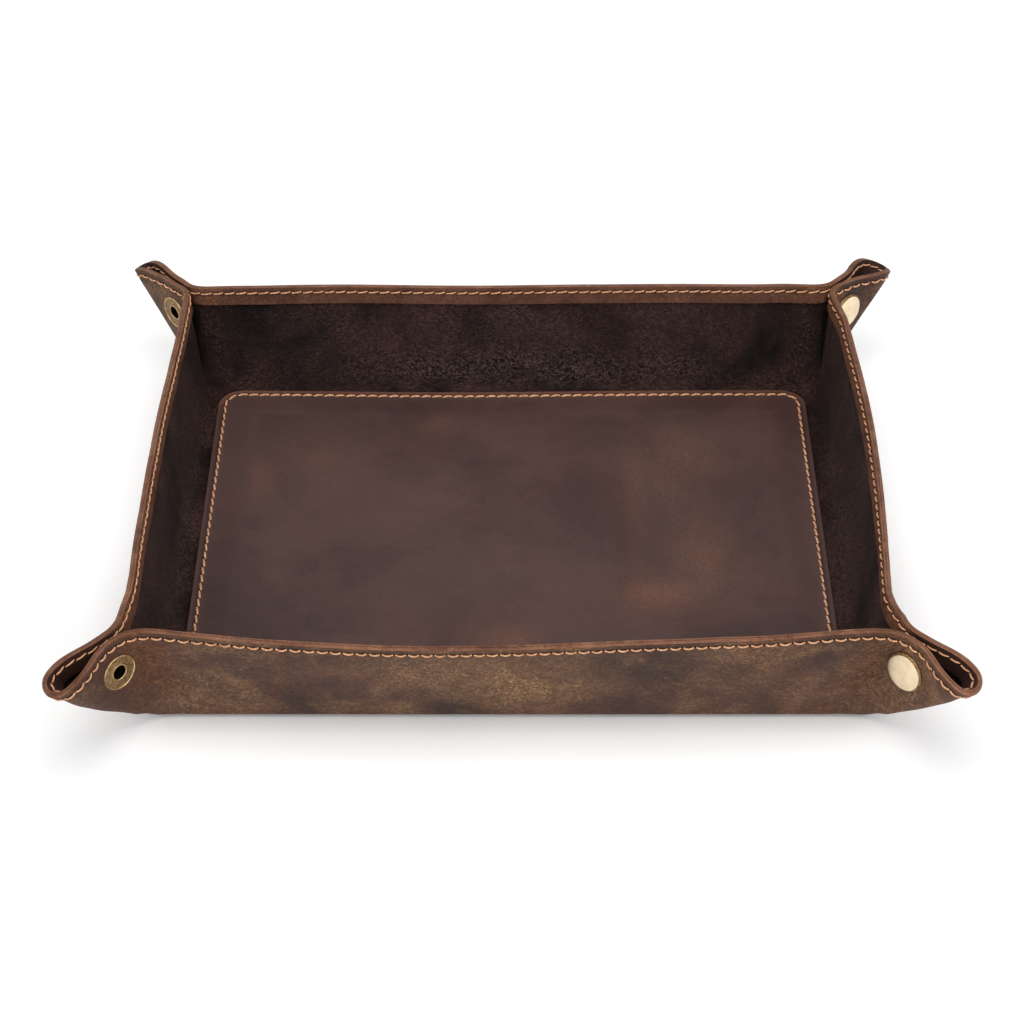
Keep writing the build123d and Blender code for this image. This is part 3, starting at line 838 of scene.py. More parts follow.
class LeatherGroups:
    """Node groups that the leathers share, each built once."""

    def __init__(self) -> None:
        """Build the groups."""
        self.grain = self._grain()
        self.mottle = self._mottle()
        self.crinkle = self._crinkle()
        self.rim_wear_and_groove_shade = self._rim_wear_and_groove_shade()

    @staticmethod
    def _close(bench: NodeBench, **outputs: Wire) -> NodeTree:
        """Join a group's outputs, and return its tree."""
        bench.add("NodeGroupOutput", outputs)
        return bench.tree

    def _grain(self) -> NodeTree:
        """Build the fine pebbled grain of a hide, as a height."""
        bench, given = group_bench("Hide grain", {"Vector": None, "Scale": 900.0}, ["Height"])
        vector, scale = given["Vector"], given["Scale"]
        shake = bench.noise(vector, scale * 0.6, 2.0, 0.5, output="Color")
        pebbles = bench.cells(vector, scale, shake, 0.0009).ramp(0.0, 0.3)
        pores = bench.noise(vector, scale * 1.9, 4.0, 0.5)
        return self._close(bench, Height=pebbles.line(0.6, pores))

    def _mottle(self) -> NodeTree:
        """Build the cloudy patches of waxed leather, as two masks."""
        inputs = {"Vector": None, "Scale": 18.0, "Seed": 0.0}
        bench, given = group_bench("Waxed mottling", inputs, ["Pale", "Warm"])
        feeds = {0: given["Vector"], 1: given["Seed"]}
        place = bench.wire("ShaderNodeVectorMath", feeds, operation="ADD")
        pale = bench.noise(place, given["Scale"] * 1.0, 9.0, 0.66, 0.9)
        warm = bench.noise(place, given["Scale"] * 0.6, 7.0, 0.66, 0.9)
        return self._close(bench, Pale=pale.ramp(0.44, 0.66), Warm=warm.ramp(0.5, 0.68))

    def _crinkle(self) -> NodeTree:
        """Build the fine creases of worked leather: short thin lines, and a crepe of flecks, as
        masks for bumps and for painted shade and highlight.
        """
        inputs = {"Vector": None, "Scale": 800.0}
        bench, given = group_bench("Worked creases", inputs, ["Lines", "Flecks"])
        vector, scale = given["Vector"], given["Scale"]
        lines, clouds = [], []
        for turn, length, factor, warp in (
            (0.5, 1.7, 1.0, 0.9), (-0.6, 1.6, 1.0, 1.1), (0.1, 1.4, 1.9, 0.7)
        ):
            feeds = {"Vector": vector, "Rotation": (0.0, 0.0, turn), "Scale": (length, 1.0, 1.0)}
            swept = bench.wire("ShaderNodeMapping", feeds, vector_type="TEXTURE")
            cloud = bench.noise(swept, scale * factor, 2.0, 0.55, warp)
            lines.append(1.0 - abs(cloud - 0.5).ramp(0.0, 0.055))
            shake = bench.noise(swept, scale, 1.0, 0.5, output="Color")
            crepe = bench.cells(swept, scale * 1.25, shake, 0.0016).ramp(0.0, 0.32) * 0.5
            clouds.append(cloud.ramp(0.38, 0.62).line(0.5, crepe))
        wander = bench.noise(vector, scale * 0.07, 2.0).ramp(0.44, 0.56)
        gate = bench.noise(vector, scale * 0.16, 3.0).ramp(0.3, 0.6)
        broad, flecks = ((b - a).line(wander, a) for a, b, _ in (lines, clouds))
        return self._close(bench, Lines=(broad * gate).at_least(lines[2] * 0.5), Flecks=flecks)

    def _rim_wear_and_groove_shade(self) -> NodeTree:
        """Build masks of the worn rim and of the painted shade in the stitch groove."""
        inputs = {"Vector": None, "Distance": 1.0}
        bench, given = group_bench("Rim wear", inputs, ["Worn", "Groove"])
        ragged = bench.noise(given["Vector"], 420.0, 4.0, 0.65).line(0.0016, given["Distance"])
        # Painted shade along the stitch groove
        groove = 1.0 - abs(ragged - 0.0032).ramp(0.0003, 0.0014)
        return self._close(bench, Worn=1.0 - ragged.ramp(0.0009, 0.0024), Groove=groove)


@dataclass(frozen=True)
class LeatherFinish:
    """How one leather looks."""

    name: str
    dark: Colour
    body: Colour
    pale: Colour
    warm: Colour
    pulled: Colour = srgb(113, 71, 40)  # Colour where it is bent hard
    rough: float = 0.6
    gloss: float = 0.25
    mottle_scale: float = 18.0
    grain_scale: float = 900.0
    grain: float = 0.3
    creases: float = 0.4
    crease_scale: float = 260.0
    pale_share: float = 0.7  # How far the pale colour shows
    warm_share: float = 0.5  # How far the warm colour shows
    # groove: how far painted shade darkens the stitch groove
    groove: float = 0.5  # How far the stitch groove is darkened
    worn: float = 0.3  # How far its rim is worn to the pulled colour
    flecks: float = 0.3
    # ear_shade: painted shade that darkens the inner faces deep inside the folded ears
    ear_shade: float = 0.0  # How far it is darkened inside the ears
    relief: float = 0.0004
    seed: float = 0.0  # Shift of the pattern
    # Whether the patterns lie on the flat blank, or in space as on a cut edge
    follows_sheet: bool = True

    def build(self, groups: LeatherGroups) -> Material:
        """Build the material.

        Args:
            groups: The node groups that the leathers share.

        Returns:
            The finished material.
        """
        material, bench = material_bench(self.name)
        if self.follows_sheet:
            place = bench.wire("ShaderNodeUVMap", uv_map="flat")
        else:
            place = bench.wire("ShaderNodeTexCoord", output="Object")
        mottle = bench.group(groups.mottle, Vector=place, Scale=self.mottle_scale, Seed=self.seed)
        height = bench.group(groups.grain, Vector=place, Scale=self.grain_scale)["Height"]
        crease = bench.group(groups.crinkle, Vector=place, Scale=self.crease_scale)
        # The worn rim, and the painted shade in the stitch groove
        wear = bench.group(groups.rim_wear_and_groove_shade, Vector=place, Distance=self._mark(bench, "rim"))
        colour = self._colour(bench, place, mottle | crease | wear, height)
        relief = height * self.grain - crease["Lines"] * self.creases
        feeds = {"Strength": 0.9, "Distance": self.relief, "Height": relief}
        rough = bench.noise(place, self.mottle_scale * 2, 4.0).line(0.25, self.rough - 0.12)
        bench.skin(colour, rough, bench.wire("ShaderNodeBump", feeds), self.gloss)
        return material

    def _colour(
        self, bench: NodeBench, place: Wire, pattern: dict[str, Wire], height: Wire
    ) -> Wire:
        """Mix the leather's colours.

        Args:
            bench: Bench on the material's tree.
            place: Place of the pattern.
            pattern: Masks of the shared groups, by name.
            height: Height of the grain.

        Returns:
            The mixed colour.
        """
        shade = bench.noise(place, self.mottle_scale * 0.8, 8.0, 0.62, 0.5).ramp(0.36, 0.6)
        colour = bench.mix(shade, self.dark, self.body)
        colour = bench.mix(pattern["Warm"] * self.warm_share, colour, self.warm)
        fibre = bench.noise(place, self.crease_scale * 1.2, 3.0, 0.7, 0.6).ramp(0.32, 0.66)
        broken = fibre.line(0.75, 0.28)
        # Outer faces: moved wax. Inner faces: painted shade towards the dark colour and painted
        # sheen towards the pale one
        wax = self._mark(bench, "wax") * pattern["Pale"].ramp(-0.9, 0.8)
        colour = bench.mix((wax * -0.8).at_least(0.0), colour, self.dark)
        pale = (pattern["Pale"] * self.pale_share).at_least(wax * 1.1) * broken
        pale = bench.maths("MINIMUM", pale, 1.0)
        colour = bench.mix(pale, colour, self.pale)
        # Pulled leather; on the floor panel, rubbed patches and a painted highlight on its back
        # edge
        pull_and_highlight = self._mark(bench, "pull")
        colour = bench.mix(pull_and_highlight * shade.line(0.45, 0.5) * broken, colour, self.pulled)
        colour = bench.mix(pattern["Worn"] * self.worn * broken, colour, self.pulled)
        # Crease lines darkened: painted shade in the fine creases
        colour = bench.mix(pattern["Lines"] * (0.6 * self.creases), colour, self.dark)
        # Light and dark flecks: the leather's own speckle, with painted highlight and shade of its
        # fine crepe and grain
        fleck = (pattern["Flecks"] - 0.55) * (2 * self.flecks) * pale.line(0.9, 0.55)
        light = fleck.line(pull_and_highlight.line(0.6, 1.0), 1.06)
        colour = bench.wire("ShaderNodeVectorMath", {0: colour, "Scale": light}, operation="SCALE")
        # Darker in the grain's pits, with painted shade in the stitch groove and deep inside the
        # ears
        pits = 1.0 - height.ramp(0.35, 0.9)
        pits_and_painted_shade = (pits * (0.3 * self.grain)).at_least(0.0)
        pits_and_painted_shade = pits_and_painted_shade.at_least(pattern["Groove"] * self.groove)
        # Painted shade deep inside the folded ears
        pits_and_painted_shade = pits_and_painted_shade.at_least(self._mark(bench, "hidden") * self.ear_shade)
        return bench.mix(pits_and_painted_shade, colour, (*(channel * 0.45 for channel in self.dark[:3]), 1.0))

    @staticmethod
    def _mark(bench: NodeBench, name: str) -> Wire:
        """Read one of the numbers that a piece carries at each point."""
        return bench.wire("ShaderNodeAttribute", output="Fac", attribute_name=name)


@dataclass(frozen=True)
class PlainFinish:
    """A finish with one pattern of light and dark, for metal, thread, board and holes."""

    name: str
    colour: Colour
    shade: Colour
    rough: float = 0.5
    metal: float = 0.0
    gloss: float = 0.3
    scale: float = 400.0
    bump: float = 0.2

    def build(self) -> Material:
        """Build the material and return it."""
        material, bench = material_bench(self.name)
        place = bench.wire("ShaderNodeTexCoord", output="Object")
        cloud = bench.noise(place, self.scale, 4.0, 0.6)
        colour = bench.mix(cloud.ramp(0.35, 0.65), self.shade, self.colour)
        feeds = {"Strength": self.bump, "Distance": 0.0001, "Height": cloud}
        bump = bench.wire("ShaderNodeBump", feeds)
        bench.skin(colour, cloud.line(0.2, self.rough - 0.1), bump, self.gloss, self.metal)
        return material


class Palette:
    """All of the tray's materials."""

    def __init__(self) -> None:
        """Build every material once."""
        groups = LeatherGroups()
        self.body = LeatherFinish(
            "Waxed brown leather", srgb(64, 46, 40), srgb(96, 66, 54), srgb(170, 128, 90),
            srgb(106, 64, 44), rough=0.62, gloss=0.22, mottle_scale=30.0, grain_scale=1100.0,
            grain=0.5, creases=0.75, crease_scale=850.0, pale_share=0.6, warm_share=0.6, groove=0.6,
            flecks=0.5, relief=0.00035,
        ).build(groups)
        # Flesh side: its very dark colour also gives the painted shade of the inner back corners
        self.flesh = LeatherFinish(
            "Waxed flesh side", srgb(24, 15, 14), srgb(87, 61, 57), srgb(102, 78, 70),
            srgb(84, 54, 44), pulled=srgb(84, 60, 52), rough=0.45, gloss=0.2, mottle_scale=30.0,
            grain_scale=900.0, grain=1.4, creases=0.4, crease_scale=900.0, pale_share=0.3,
            warm_share=0.35, groove=0.0, worn=0.0, flecks=1.1, ear_shade=0.9, relief=0.0008, seed=3.0,
        ).build(groups)
        self.facing = LeatherFinish(
            "Facing strip leather", srgb(84, 54, 43), srgb(112, 75, 59), srgb(142, 102, 76),
            srgb(120, 70, 50), pulled=srgb(134, 90, 64), rough=0.6, gloss=0.18, mottle_scale=50.0,
            creases=0.4, crease_scale=800.0, pale_share=0.5, groove=0.6, flecks=0.45, ear_shade=1.0,
            seed=7.0,
        ).build(groups)
        self.edge = LeatherFinish(
            "Burnished leather edge", srgb(98, 58, 41), srgb(138, 93, 68), srgb(172, 126, 94),
            srgb(130, 78, 54), rough=0.5, gloss=0.25, mottle_scale=70.0, creases=0.5,
            crease_scale=700.0, grain=0.4, pale_share=0.6, groove=0.0, worn=0.0, flecks=0.2,
            seed=5.0, follows_sheet=False,
        ).build(groups)
        # Floor panel: its pulled colour gives its rubbed patches and the painted highlight on its
        # back edge
        self.panel = LeatherFinish(
            "Floor panel leather", srgb(60, 43, 40), srgb(78, 57, 52), srgb(90, 68, 62),
            srgb(112, 66, 54), pulled=srgb(150, 98, 76), rough=0.55, gloss=0.22, mottle_scale=16.0,
            grain_scale=1500.0, creases=0.2, crease_scale=900.0, grain=0.3, pale_share=0.3,
            warm_share=0.12, groove=0.4, worn=0.15, flecks=0.14, relief=0.00016, seed=11.0,
        ).build(groups)
        self.thread = PlainFinish(
            "Waxed tan thread", srgb(236, 184, 142), srgb(184, 122, 80), scale=1500.0, bump=0.6
        ).build()
        # Needle holes: dark dimples that are painted shade inside the holes
        self.hole = PlainFinish(
            "Needle holes", srgb(40, 22, 15), srgb(26, 14, 10), rough=0.9, gloss=0.1
        ).build()
        self.board = PlainFinish(
            "Grey board", srgb(130, 126, 120), srgb(112, 108, 102), rough=0.9
        ).build()
        self.brass = PlainFinish(
            "Antique brass", srgb(234, 215, 184), srgb(222, 201, 166), 0.3, 1.0, scale=300.0,
            bump=0.05,
        ).build()
        self.worn_brass = PlainFinish(
            "Worn antique brass", srgb(196, 166, 124), srgb(148, 118, 82), 0.42, 1.0, bump=0.3
        ).build()
        # Darkened brass: patina in the eyelet's dish, and painted shade round the cap's rolled rim
        self.patina_and_rim_shade = PlainFinish(
            "Darkened brass", srgb(150, 122, 84), srgb(96, 74, 50), 0.5, 1.0, scale=1200.0, bump=0.6
        ).build()
        # The eyelet's bore, painted near black: painted shade inside the hole
        self.bore_shade = PlainFinish(
            "Eyelet's bore", srgb(16, 12, 10), srgb(9, 7, 6), rough=0.9, gloss=0.0
        ).build()


# Leather pieces


@dataclass(frozen=True)
class LeatherWork:
    """Cuts the tray's leather pieces from the folded sheet."""

    sheet: FoldedSheet
    palette: Palette
    end_inset: float = 10.0  # Distance from a corner to the end of a wall's own piece
    cup_rise: float = 6.0  # Height at which the ear flaps' pieces begin
    cup_corner: float = 7.0  # Distance from each fold to the ears' pieces at the corner
    drill_radius: float = 3.9  # Radius of the rough holes under the eyelets
    GROOVE: ClassVar = (
        (4.2, 0.0, 0), (3.1, 0.03, 8), (2.7, 0.1, 10), (2.4, 0.14, 0), (2.1, 0.1, -12),
        (1.8, 0.02, -8), (1.3, 0.0, 0),
    )

    @property
    def blank(self) -> Blank:
        """The blank that the sheet was folded from."""
        return self.sheet.blank

    def heights(self) -> list[float]:
        """Return the heights of a wall's rows, from its bend to just under its rim."""
        low = np.arange(-self.blank.bend_half, 9.0, 1.0)
        return [*low, *np.arange(10.0, self.blank.wall_height - 5.0, 2.0)]

    def groove(self, face: float, turn: float) -> list[ProfileRow]:
        """Return the rows of the shallow groove that the stitches press into a face, from its foot.

        Args:
            face: Depth of the face.
            turn: Direction of the face's normal, 0 or 180.
        """
        inward = -math.copysign(1.0, math.cos(math.radians(turn)))
        return [
            ProfileRow(inset, face + inward * dip, turn - inward * tilt, 0)
            for inset, dip, tilt in self.GROOVE
        ]

    def wrap_rows(self, heights: Sequence[float]) -> list[ProfileRow]:
        """Return a leather piece's rows from its outer foot, over its rim, to its inner foot."""
        half, top, radius = self.blank.leather / 2, self.blank.wall_height, 0.5
        rows = [ProfileRow(top - height, -half, 180, 0) for height in heights]
        rows += self.groove(-half, 180)
        for turn in (0, 22, 45, 67, 90):
            down, over = 1 - math.sin(math.radians(turn)), 1 - math.cos(math.radians(turn))
            finish = int(turn >= 45)
            rows.append(ProfileRow(radius * down, -half + radius * over, 180 - turn, finish))
        rows += [ProfileRow(0.0, half - 0.15, 90, 1), ProfileRow(0.15, half, 0, 2)]
        rows += [ProfileRow(inset, half, 0, 2) for inset, _, _ in self.GROOVE[::-1]]
        return rows + [ProfileRow(top - height, half, 0, 2) for height in heights[::-1]]

    def facing_rows(self) -> list[ProfileRow]:
        """Return the closed outline of the facing strip, starting behind its rim."""
        near = self.blank.leather / 2 + self.blank.glue
        far, width = near + self.blank.facing, self.blank.facing_width
        rows = [ProfileRow(width - 0.1, near, 180, 0), ProfileRow(0.1, near, 180, 1)]
        rows += [ProfileRow(0.0, near + 0.1, 90, 1), ProfileRow(0.0, far - 0.4, 90, 1)]
        for turn in (30, 60, 90):
            down, over = 1 - math.cos(math.radians(turn)), 1 - math.sin(math.radians(turn))
            rows.append(ProfileRow(0.4 * down, far - 0.4 * over, 90 - turn, int(turn < 60)))
        rows += self.groove(far, 0)[::-1]
        rows += [ProfileRow(inset, far, 0, 0) for inset in (5.8, width - 0.25)]
        return rows + [ProfileRow(width, far - 0.2, 270, 1), ProfileRow(width, near + 0.1, 270, 1)]

    def lay(self, piece: Piece, flat: Array, outward: Array, rows: Sequence[ProfileRow]) -> Array:
        """Lay rows of points over the folded sheet.

        Args:
            piece: The piece that takes the points.
            flat: Places in the flat blank, rows by columns.
            outward: Direction over the rim in the flat blank, for each column.
            rows: The profile row that each row of places belongs to.

        Returns:
            Numbers of the added points, rows by columns.
        """
        point, normal, runs = self.sheet.at(flat)
        over = np.einsum("...a,...ac->...c", outward, runs)
        over -= normal * np.sum(over * normal, axis=-1, keepdims=True)
        over /= np.linalg.norm(over, axis=-1, keepdims=True)
        depth = np.array([row.depth for row in rows])[:, None, None]
        turn = np.radians([row.turn for row in rows])[:, None, None]
        insets = np.array([row.inset for row in rows])[:, None]
        faces = zip(self.marks(flat, True), self.marks(flat, False))
        marks = tuple(np.where(depth[..., 0] > 0, *pair) for pair in faces)
        normals = normal * np.cos(turn) + over * np.sin(turn)
        return piece.add_points(point + normal * depth, normals, flat, insets, marks)

    def marks(self, flat: Array, inner: bool) -> tuple[Array, Array, Array]:
        """Return how far a face is pulled, its wax has moved or painted sheen and shade lie on it,
        and how far it is hidden in an ear.
        """
        x, y = flat[..., 0], flat[..., 1]
        return self.blank.pull(x, y), self.blank.wax(x, y, inner), self.blank.hidden(x, y) * inner

    def place(
        self, side: Side, neighbour: Side, out: Array | float, beyond: Array | float
    ) -> Array:
        """Return places in the flat blank, measured past the folds of two sides."""
        past = np.asarray(self.blank.distance(side) + out)
        along = np.asarray(self.blank.distance(neighbour) + beyond)
        return past[..., None] * side.outward + along[..., None] * neighbour.outward

    def wrap(
        self,
        name: str,
        flat: Array,
        outward: Array,
        rows: Sequence[ProfileRow],
        turned: bool,
        hole: Array | None = None,
    ) -> Object:
        """Build a piece of leather that goes over its rim, and close its foot and its ends.

        Args:
            name: The piece's name.
            flat: Places in the flat blank, rows by columns.
            outward: Direction over the rim in the flat blank, for each column.
            rows: The profile row that each row of places belongs to.
            turned: Whether the piece's faces are turned round.
            hole: Place of an eyelet's hole, or None.

        Returns:
            The finished piece.
        """
        piece = Piece(name)
        grid = self.lay(piece, flat, outward, rows)
        piece.add_faces(grid, [row.finish for row in rows[:-1]], flip=turned)
        if hole is not None:
            self.drill(piece, grid, flat, hole, turned)
        half = len(grid) // 2
        for column, flip in ((0, turned), (-1, not turned)):
            edge = np.stack([grid[:half, column], grid[::-1, column][:half]])
            piece.add_faces(edge, 2, flip=flip)
        piece.add_faces(grid[[-1, 0]], 2, flip=turned)
        return piece.finish([self.palette.body, self.palette.edge, self.palette.flesh])

    def wall(self, side: Side) -> Object:
        """Build one wall's leather, from its bend to its rim."""
        blank, rows = self.blank, self.wrap_rows(self.heights())
        half, second = blank.half_length(side), side.ends[1]
        columns = np.linspace(-1, 1, int(half * 2 / 2.5) | 1)
        height = np.array([blank.wall_height - row.inset for row in rows])[:, None]
        along = (half - self.end_inset + blank.slant * height) * columns
        flat = (blank.distance(side) + height)[..., None] * side.outward
        flat = flat + along[..., None] * second.outward
        turned = not anticlockwise(side, second)
        return self.wrap(f"{side.label}_wall_leather", flat, side.outward, rows, turned)

    def outline(self, run: Array, inset: Array) -> tuple[Array, Array, Array]:
        """Follow the blank's outline past a corner.

        Args:
            run: Distance along the rim from the corner's fold line, which may be negative.
            inset: Distance in from the rim.

        Returns:
            The places past the own side's fold and past the neighbour's fold, and the angle that
            the outline has turned by.
        """
        radius = self.blank.corner_radius
        start = self.blank.wall_height - radius
        turn = np.clip((run - start) / radius, 0.0, math.pi / 4)
        out = start + (radius - inset) * np.cos(turn)
        return out, np.minimum(run, start) + (radius - inset) * np.sin(turn), turn

    @property
    def rim_start(self) -> float:
        """Distance along the rim from a corner's fold line to the end of the wall's own piece."""
        return -self.end_inset + self.blank.slant * self.blank.wall_height

    def flap_columns(self) -> Array:
        """Return the distances along the rim of an ear flap's columns, up to the ear's tip."""
        top, radius = self.blank.wall_height, self.blank.corner_radius
        return np.linspace(self.rim_start, top - radius + radius * math.pi / 4, 57)

    def cup_edge(self) -> tuple[Array, Array]:
        """Return the foot of an ear flap: places past its own fold and past the neighbour's."""
        low = np.array([self.cup_rise, -self.end_inset + self.blank.slant * self.cup_rise])
        columns = self.flap_columns()
        share = (columns - columns[0]) / (columns[-1] - columns[0])
        angle = (1 - share) * math.atan2(low[1], low[0]) + share * math.pi / 4
        radius = (1 - share) * np.hypot(*low) + share * np.hypot(self.cup_corner, self.cup_corner)
        return radius * np.cos(angle), radius * np.sin(angle)

    def flap(self, side: Side, neighbour: Side, drilled: bool) -> Object:
        """Build one ear flap's leather, with the pinch beside it, and drill it for an eyelet."""
        blank, columns, (foot_out, foot_beyond) = self.blank, self.flap_columns(), self.cup_edge()
        rows = self.wrap_rows([height for height in self.heights() if height >= self.cup_rise])
        inset, foot = np.array([row.inset for row in rows])[:, None], self.GROOVE[0][0]
        near = np.minimum(inset, foot)
        out, beyond, turn = self.outline(columns, near)
        beyond = beyond - blank.slant * near * (1 - smooth((columns - columns[0]) / 12.0))
        share = (inset - near) / (blank.wall_height - self.cup_rise - foot)
        out, beyond = out + (foot_out - out) * share, beyond + (foot_beyond - beyond) * share
        return self.wrap(
            ear_label(side, neighbour) + "_leather",
            self.place(side, neighbour, out, beyond),
            over_rim(side, neighbour, turn),
            rows,
            not anticlockwise(side, neighbour),
            self.place(side, neighbour, *blank.snap_place) if drilled else None,
        )

    def drill(self, piece: Piece, grid: Array, flat: Array, middle: Array, turned: bool) -> None:
        """Cut the hole for an eyelet's tube through a flap's leather, and line it.

        Args:
            piece: The flap, whose grid was the first to be added.
            grid: Numbers of its points, from the outer foot over the rim to the inner foot.
            flat: The points' places in the flat blank.
            middle: The hole's place in the flat blank.
            turned: Whether the piece's faces are turned round.
        """
        rows, columns = grid.shape
        centres = (flat[:-1, :-1] + flat[1:, 1:]) / 2
        cut = np.linalg.norm(centres - middle, axis=-1) < self.drill_radius
        cut[rows // 2 :] = False
        cells = np.argwhere(cut)
        places = np.concatenate([cells, [rows - 2, 0] + cells * [-1, 1]])
        gone = set((places @ [columns - 1, 1]).tolist())
        kept = [index for index in range(len(piece.faces)) if index not in gone]
        piece.faces = [piece.faces[index] for index in kept]
        piece.finishes = [piece.finishes[index] for index in kept]
        inner = grid[::-1]
        for row, column in cells.tolist():
            ends = (
                (cut[row - 1, column], (row, column), (row, column + 1)),
                (cut[row + 1, column], (row + 1, column + 1), (row + 1, column)),
                (cut[row, column - 1], (row + 1, column), (row, column)),
                (cut[row, column + 1], (row, column + 1), (row + 1, column + 1)),
            )
            for joined, first, second in ends:
                if not joined:
                    face = (grid[first], grid[second], inner[second], inner[first])
                    piece.add_face(face[::-1] if turned else face, 2)

    def patch(
        self, name: str, flat: Array, turned: bool, edges: Sequence[tuple[tuple, bool]]
    ) -> Object:
        """Build a piece of leather with two faces and cut edges.

        Args:
            name: The piece's name.
            flat: Places in the flat blank, rows by columns.
            turned: Whether the inner face is turned round.
            edges: Index of each cut edge in the grid, and whether it is turned round.

        Returns:
            The finished piece.
        """
        piece, faces = Piece(name), []
        point, normal, _ = self.sheet.at(flat)
        for way in (-1, 1):
            marks = self.marks(flat, way > 0)
            points = point + normal * (way * self.blank.leather / 2)
            faces.append(piece.add_points(points, normal * way, flat, marks=marks))
            piece.add_faces(faces[-1], max(way, 0), flip=turned == (way > 0))
        for edge, flip in edges:
            piece.add_faces(np.stack([face[edge] for face in faces]), 1, flip=flip)
        return piece.finish([self.palette.body, self.palette.flesh])

    def base(self) -> Object:
        """Build the base's leather."""
        counts = {Side.LEFT: 25, Side.FRONT: 19}
        halves = (self.blank.distance(side) - self.blank.bend_half for side in counts)
        lines = (np.linspace(-half, half, count) for half, count in zip(halves, counts.values()))
        flat = np.stack(np.meshgrid(*lines, indexing="ij"), axis=-1)
        edges = [(np.s_[0, :], True), (np.s_[-1, :], False)]
        edges += [(np.s_[:, 0], False), (np.s_[:, -1], True)]
        return self.patch("base_leather_sheet", flat, True, edges)

    def cup(self, side: Side, neighbour: Side) -> Object:
        """Build one side's half of the soft cup between the base, a wall and its ear flap."""
        heights = np.array([height for height in self.heights() if height < self.cup_rise])
        ends = -self.end_inset + self.blank.slant * heights
        edge = np.concatenate([np.stack([heights, ends]), self.cup_edge()], axis=1).T
        centre = np.full(2, -self.blank.bend_half)
        local = centre + (edge - centre) * np.linspace(0, 1, 13)[:, None, None]
        flat = self.place(side, neighbour, local[..., 0], local[..., 1])
        turned = anticlockwise(side, neighbour)
        edges = ((np.s_[-1, :], not turned), (np.s_[:, 0], not turned), (np.s_[:, -1], turned))
        return self.patch(f"{corner_label(side, neighbour)}_cup_{side.label}", flat, turned, edges)

    def facing(self, side: Side, neighbour: Side | None = None) -> Object:
        """Build the facing strip of a wall, or of one ear flap.

        Args:
            side: The wall, or the flap's own side.
            neighbour: The flap's other side, or None for a wall.

        Returns:
            The finished strip.
        """
        blank, rows = self.blank, self.facing_rows()
        inset = np.array([row.inset for row in rows])[:, None]
        if neighbour is None:
            name, other, outward = side.label, side.ends[1], side.outward
            reach = blank.half_length(side) + self.rim_start
            along = np.linspace(-reach, reach, int(reach) | 1)[:, None] * other.outward
            past = blank.distance(side) + blank.wall_height - inset
            flat = past[..., None] * side.outward + along
        else:
            out, beyond, turn = self.outline(self.flap_columns(), inset)
            flat = self.place(side, neighbour, out, beyond)
            name, other = ear_label(side, neighbour), neighbour
            outward = over_rim(side, neighbour, turn)
        piece, turned = Piece(f"{name}_facing_strip"), not anticlockwise(side, other)
        grid = self.lay(piece, flat, outward, rows)
        piece.add_faces(np.concatenate([grid, grid[:1]]), [row.finish for row in rows], flip=turned)
        for column, flip in ((0, turned), (-1, not turned)):
            piece.add_face(grid[:: -1 if flip else 1, column], 1)
        return piece.finish([self.palette.facing, self.palette.edge])


# Stitching


class Stitch(Enum):
    """What is made at a place of a stitch line."""

    HOLE = 0
    BOWED = 1
    SLANTED = 2


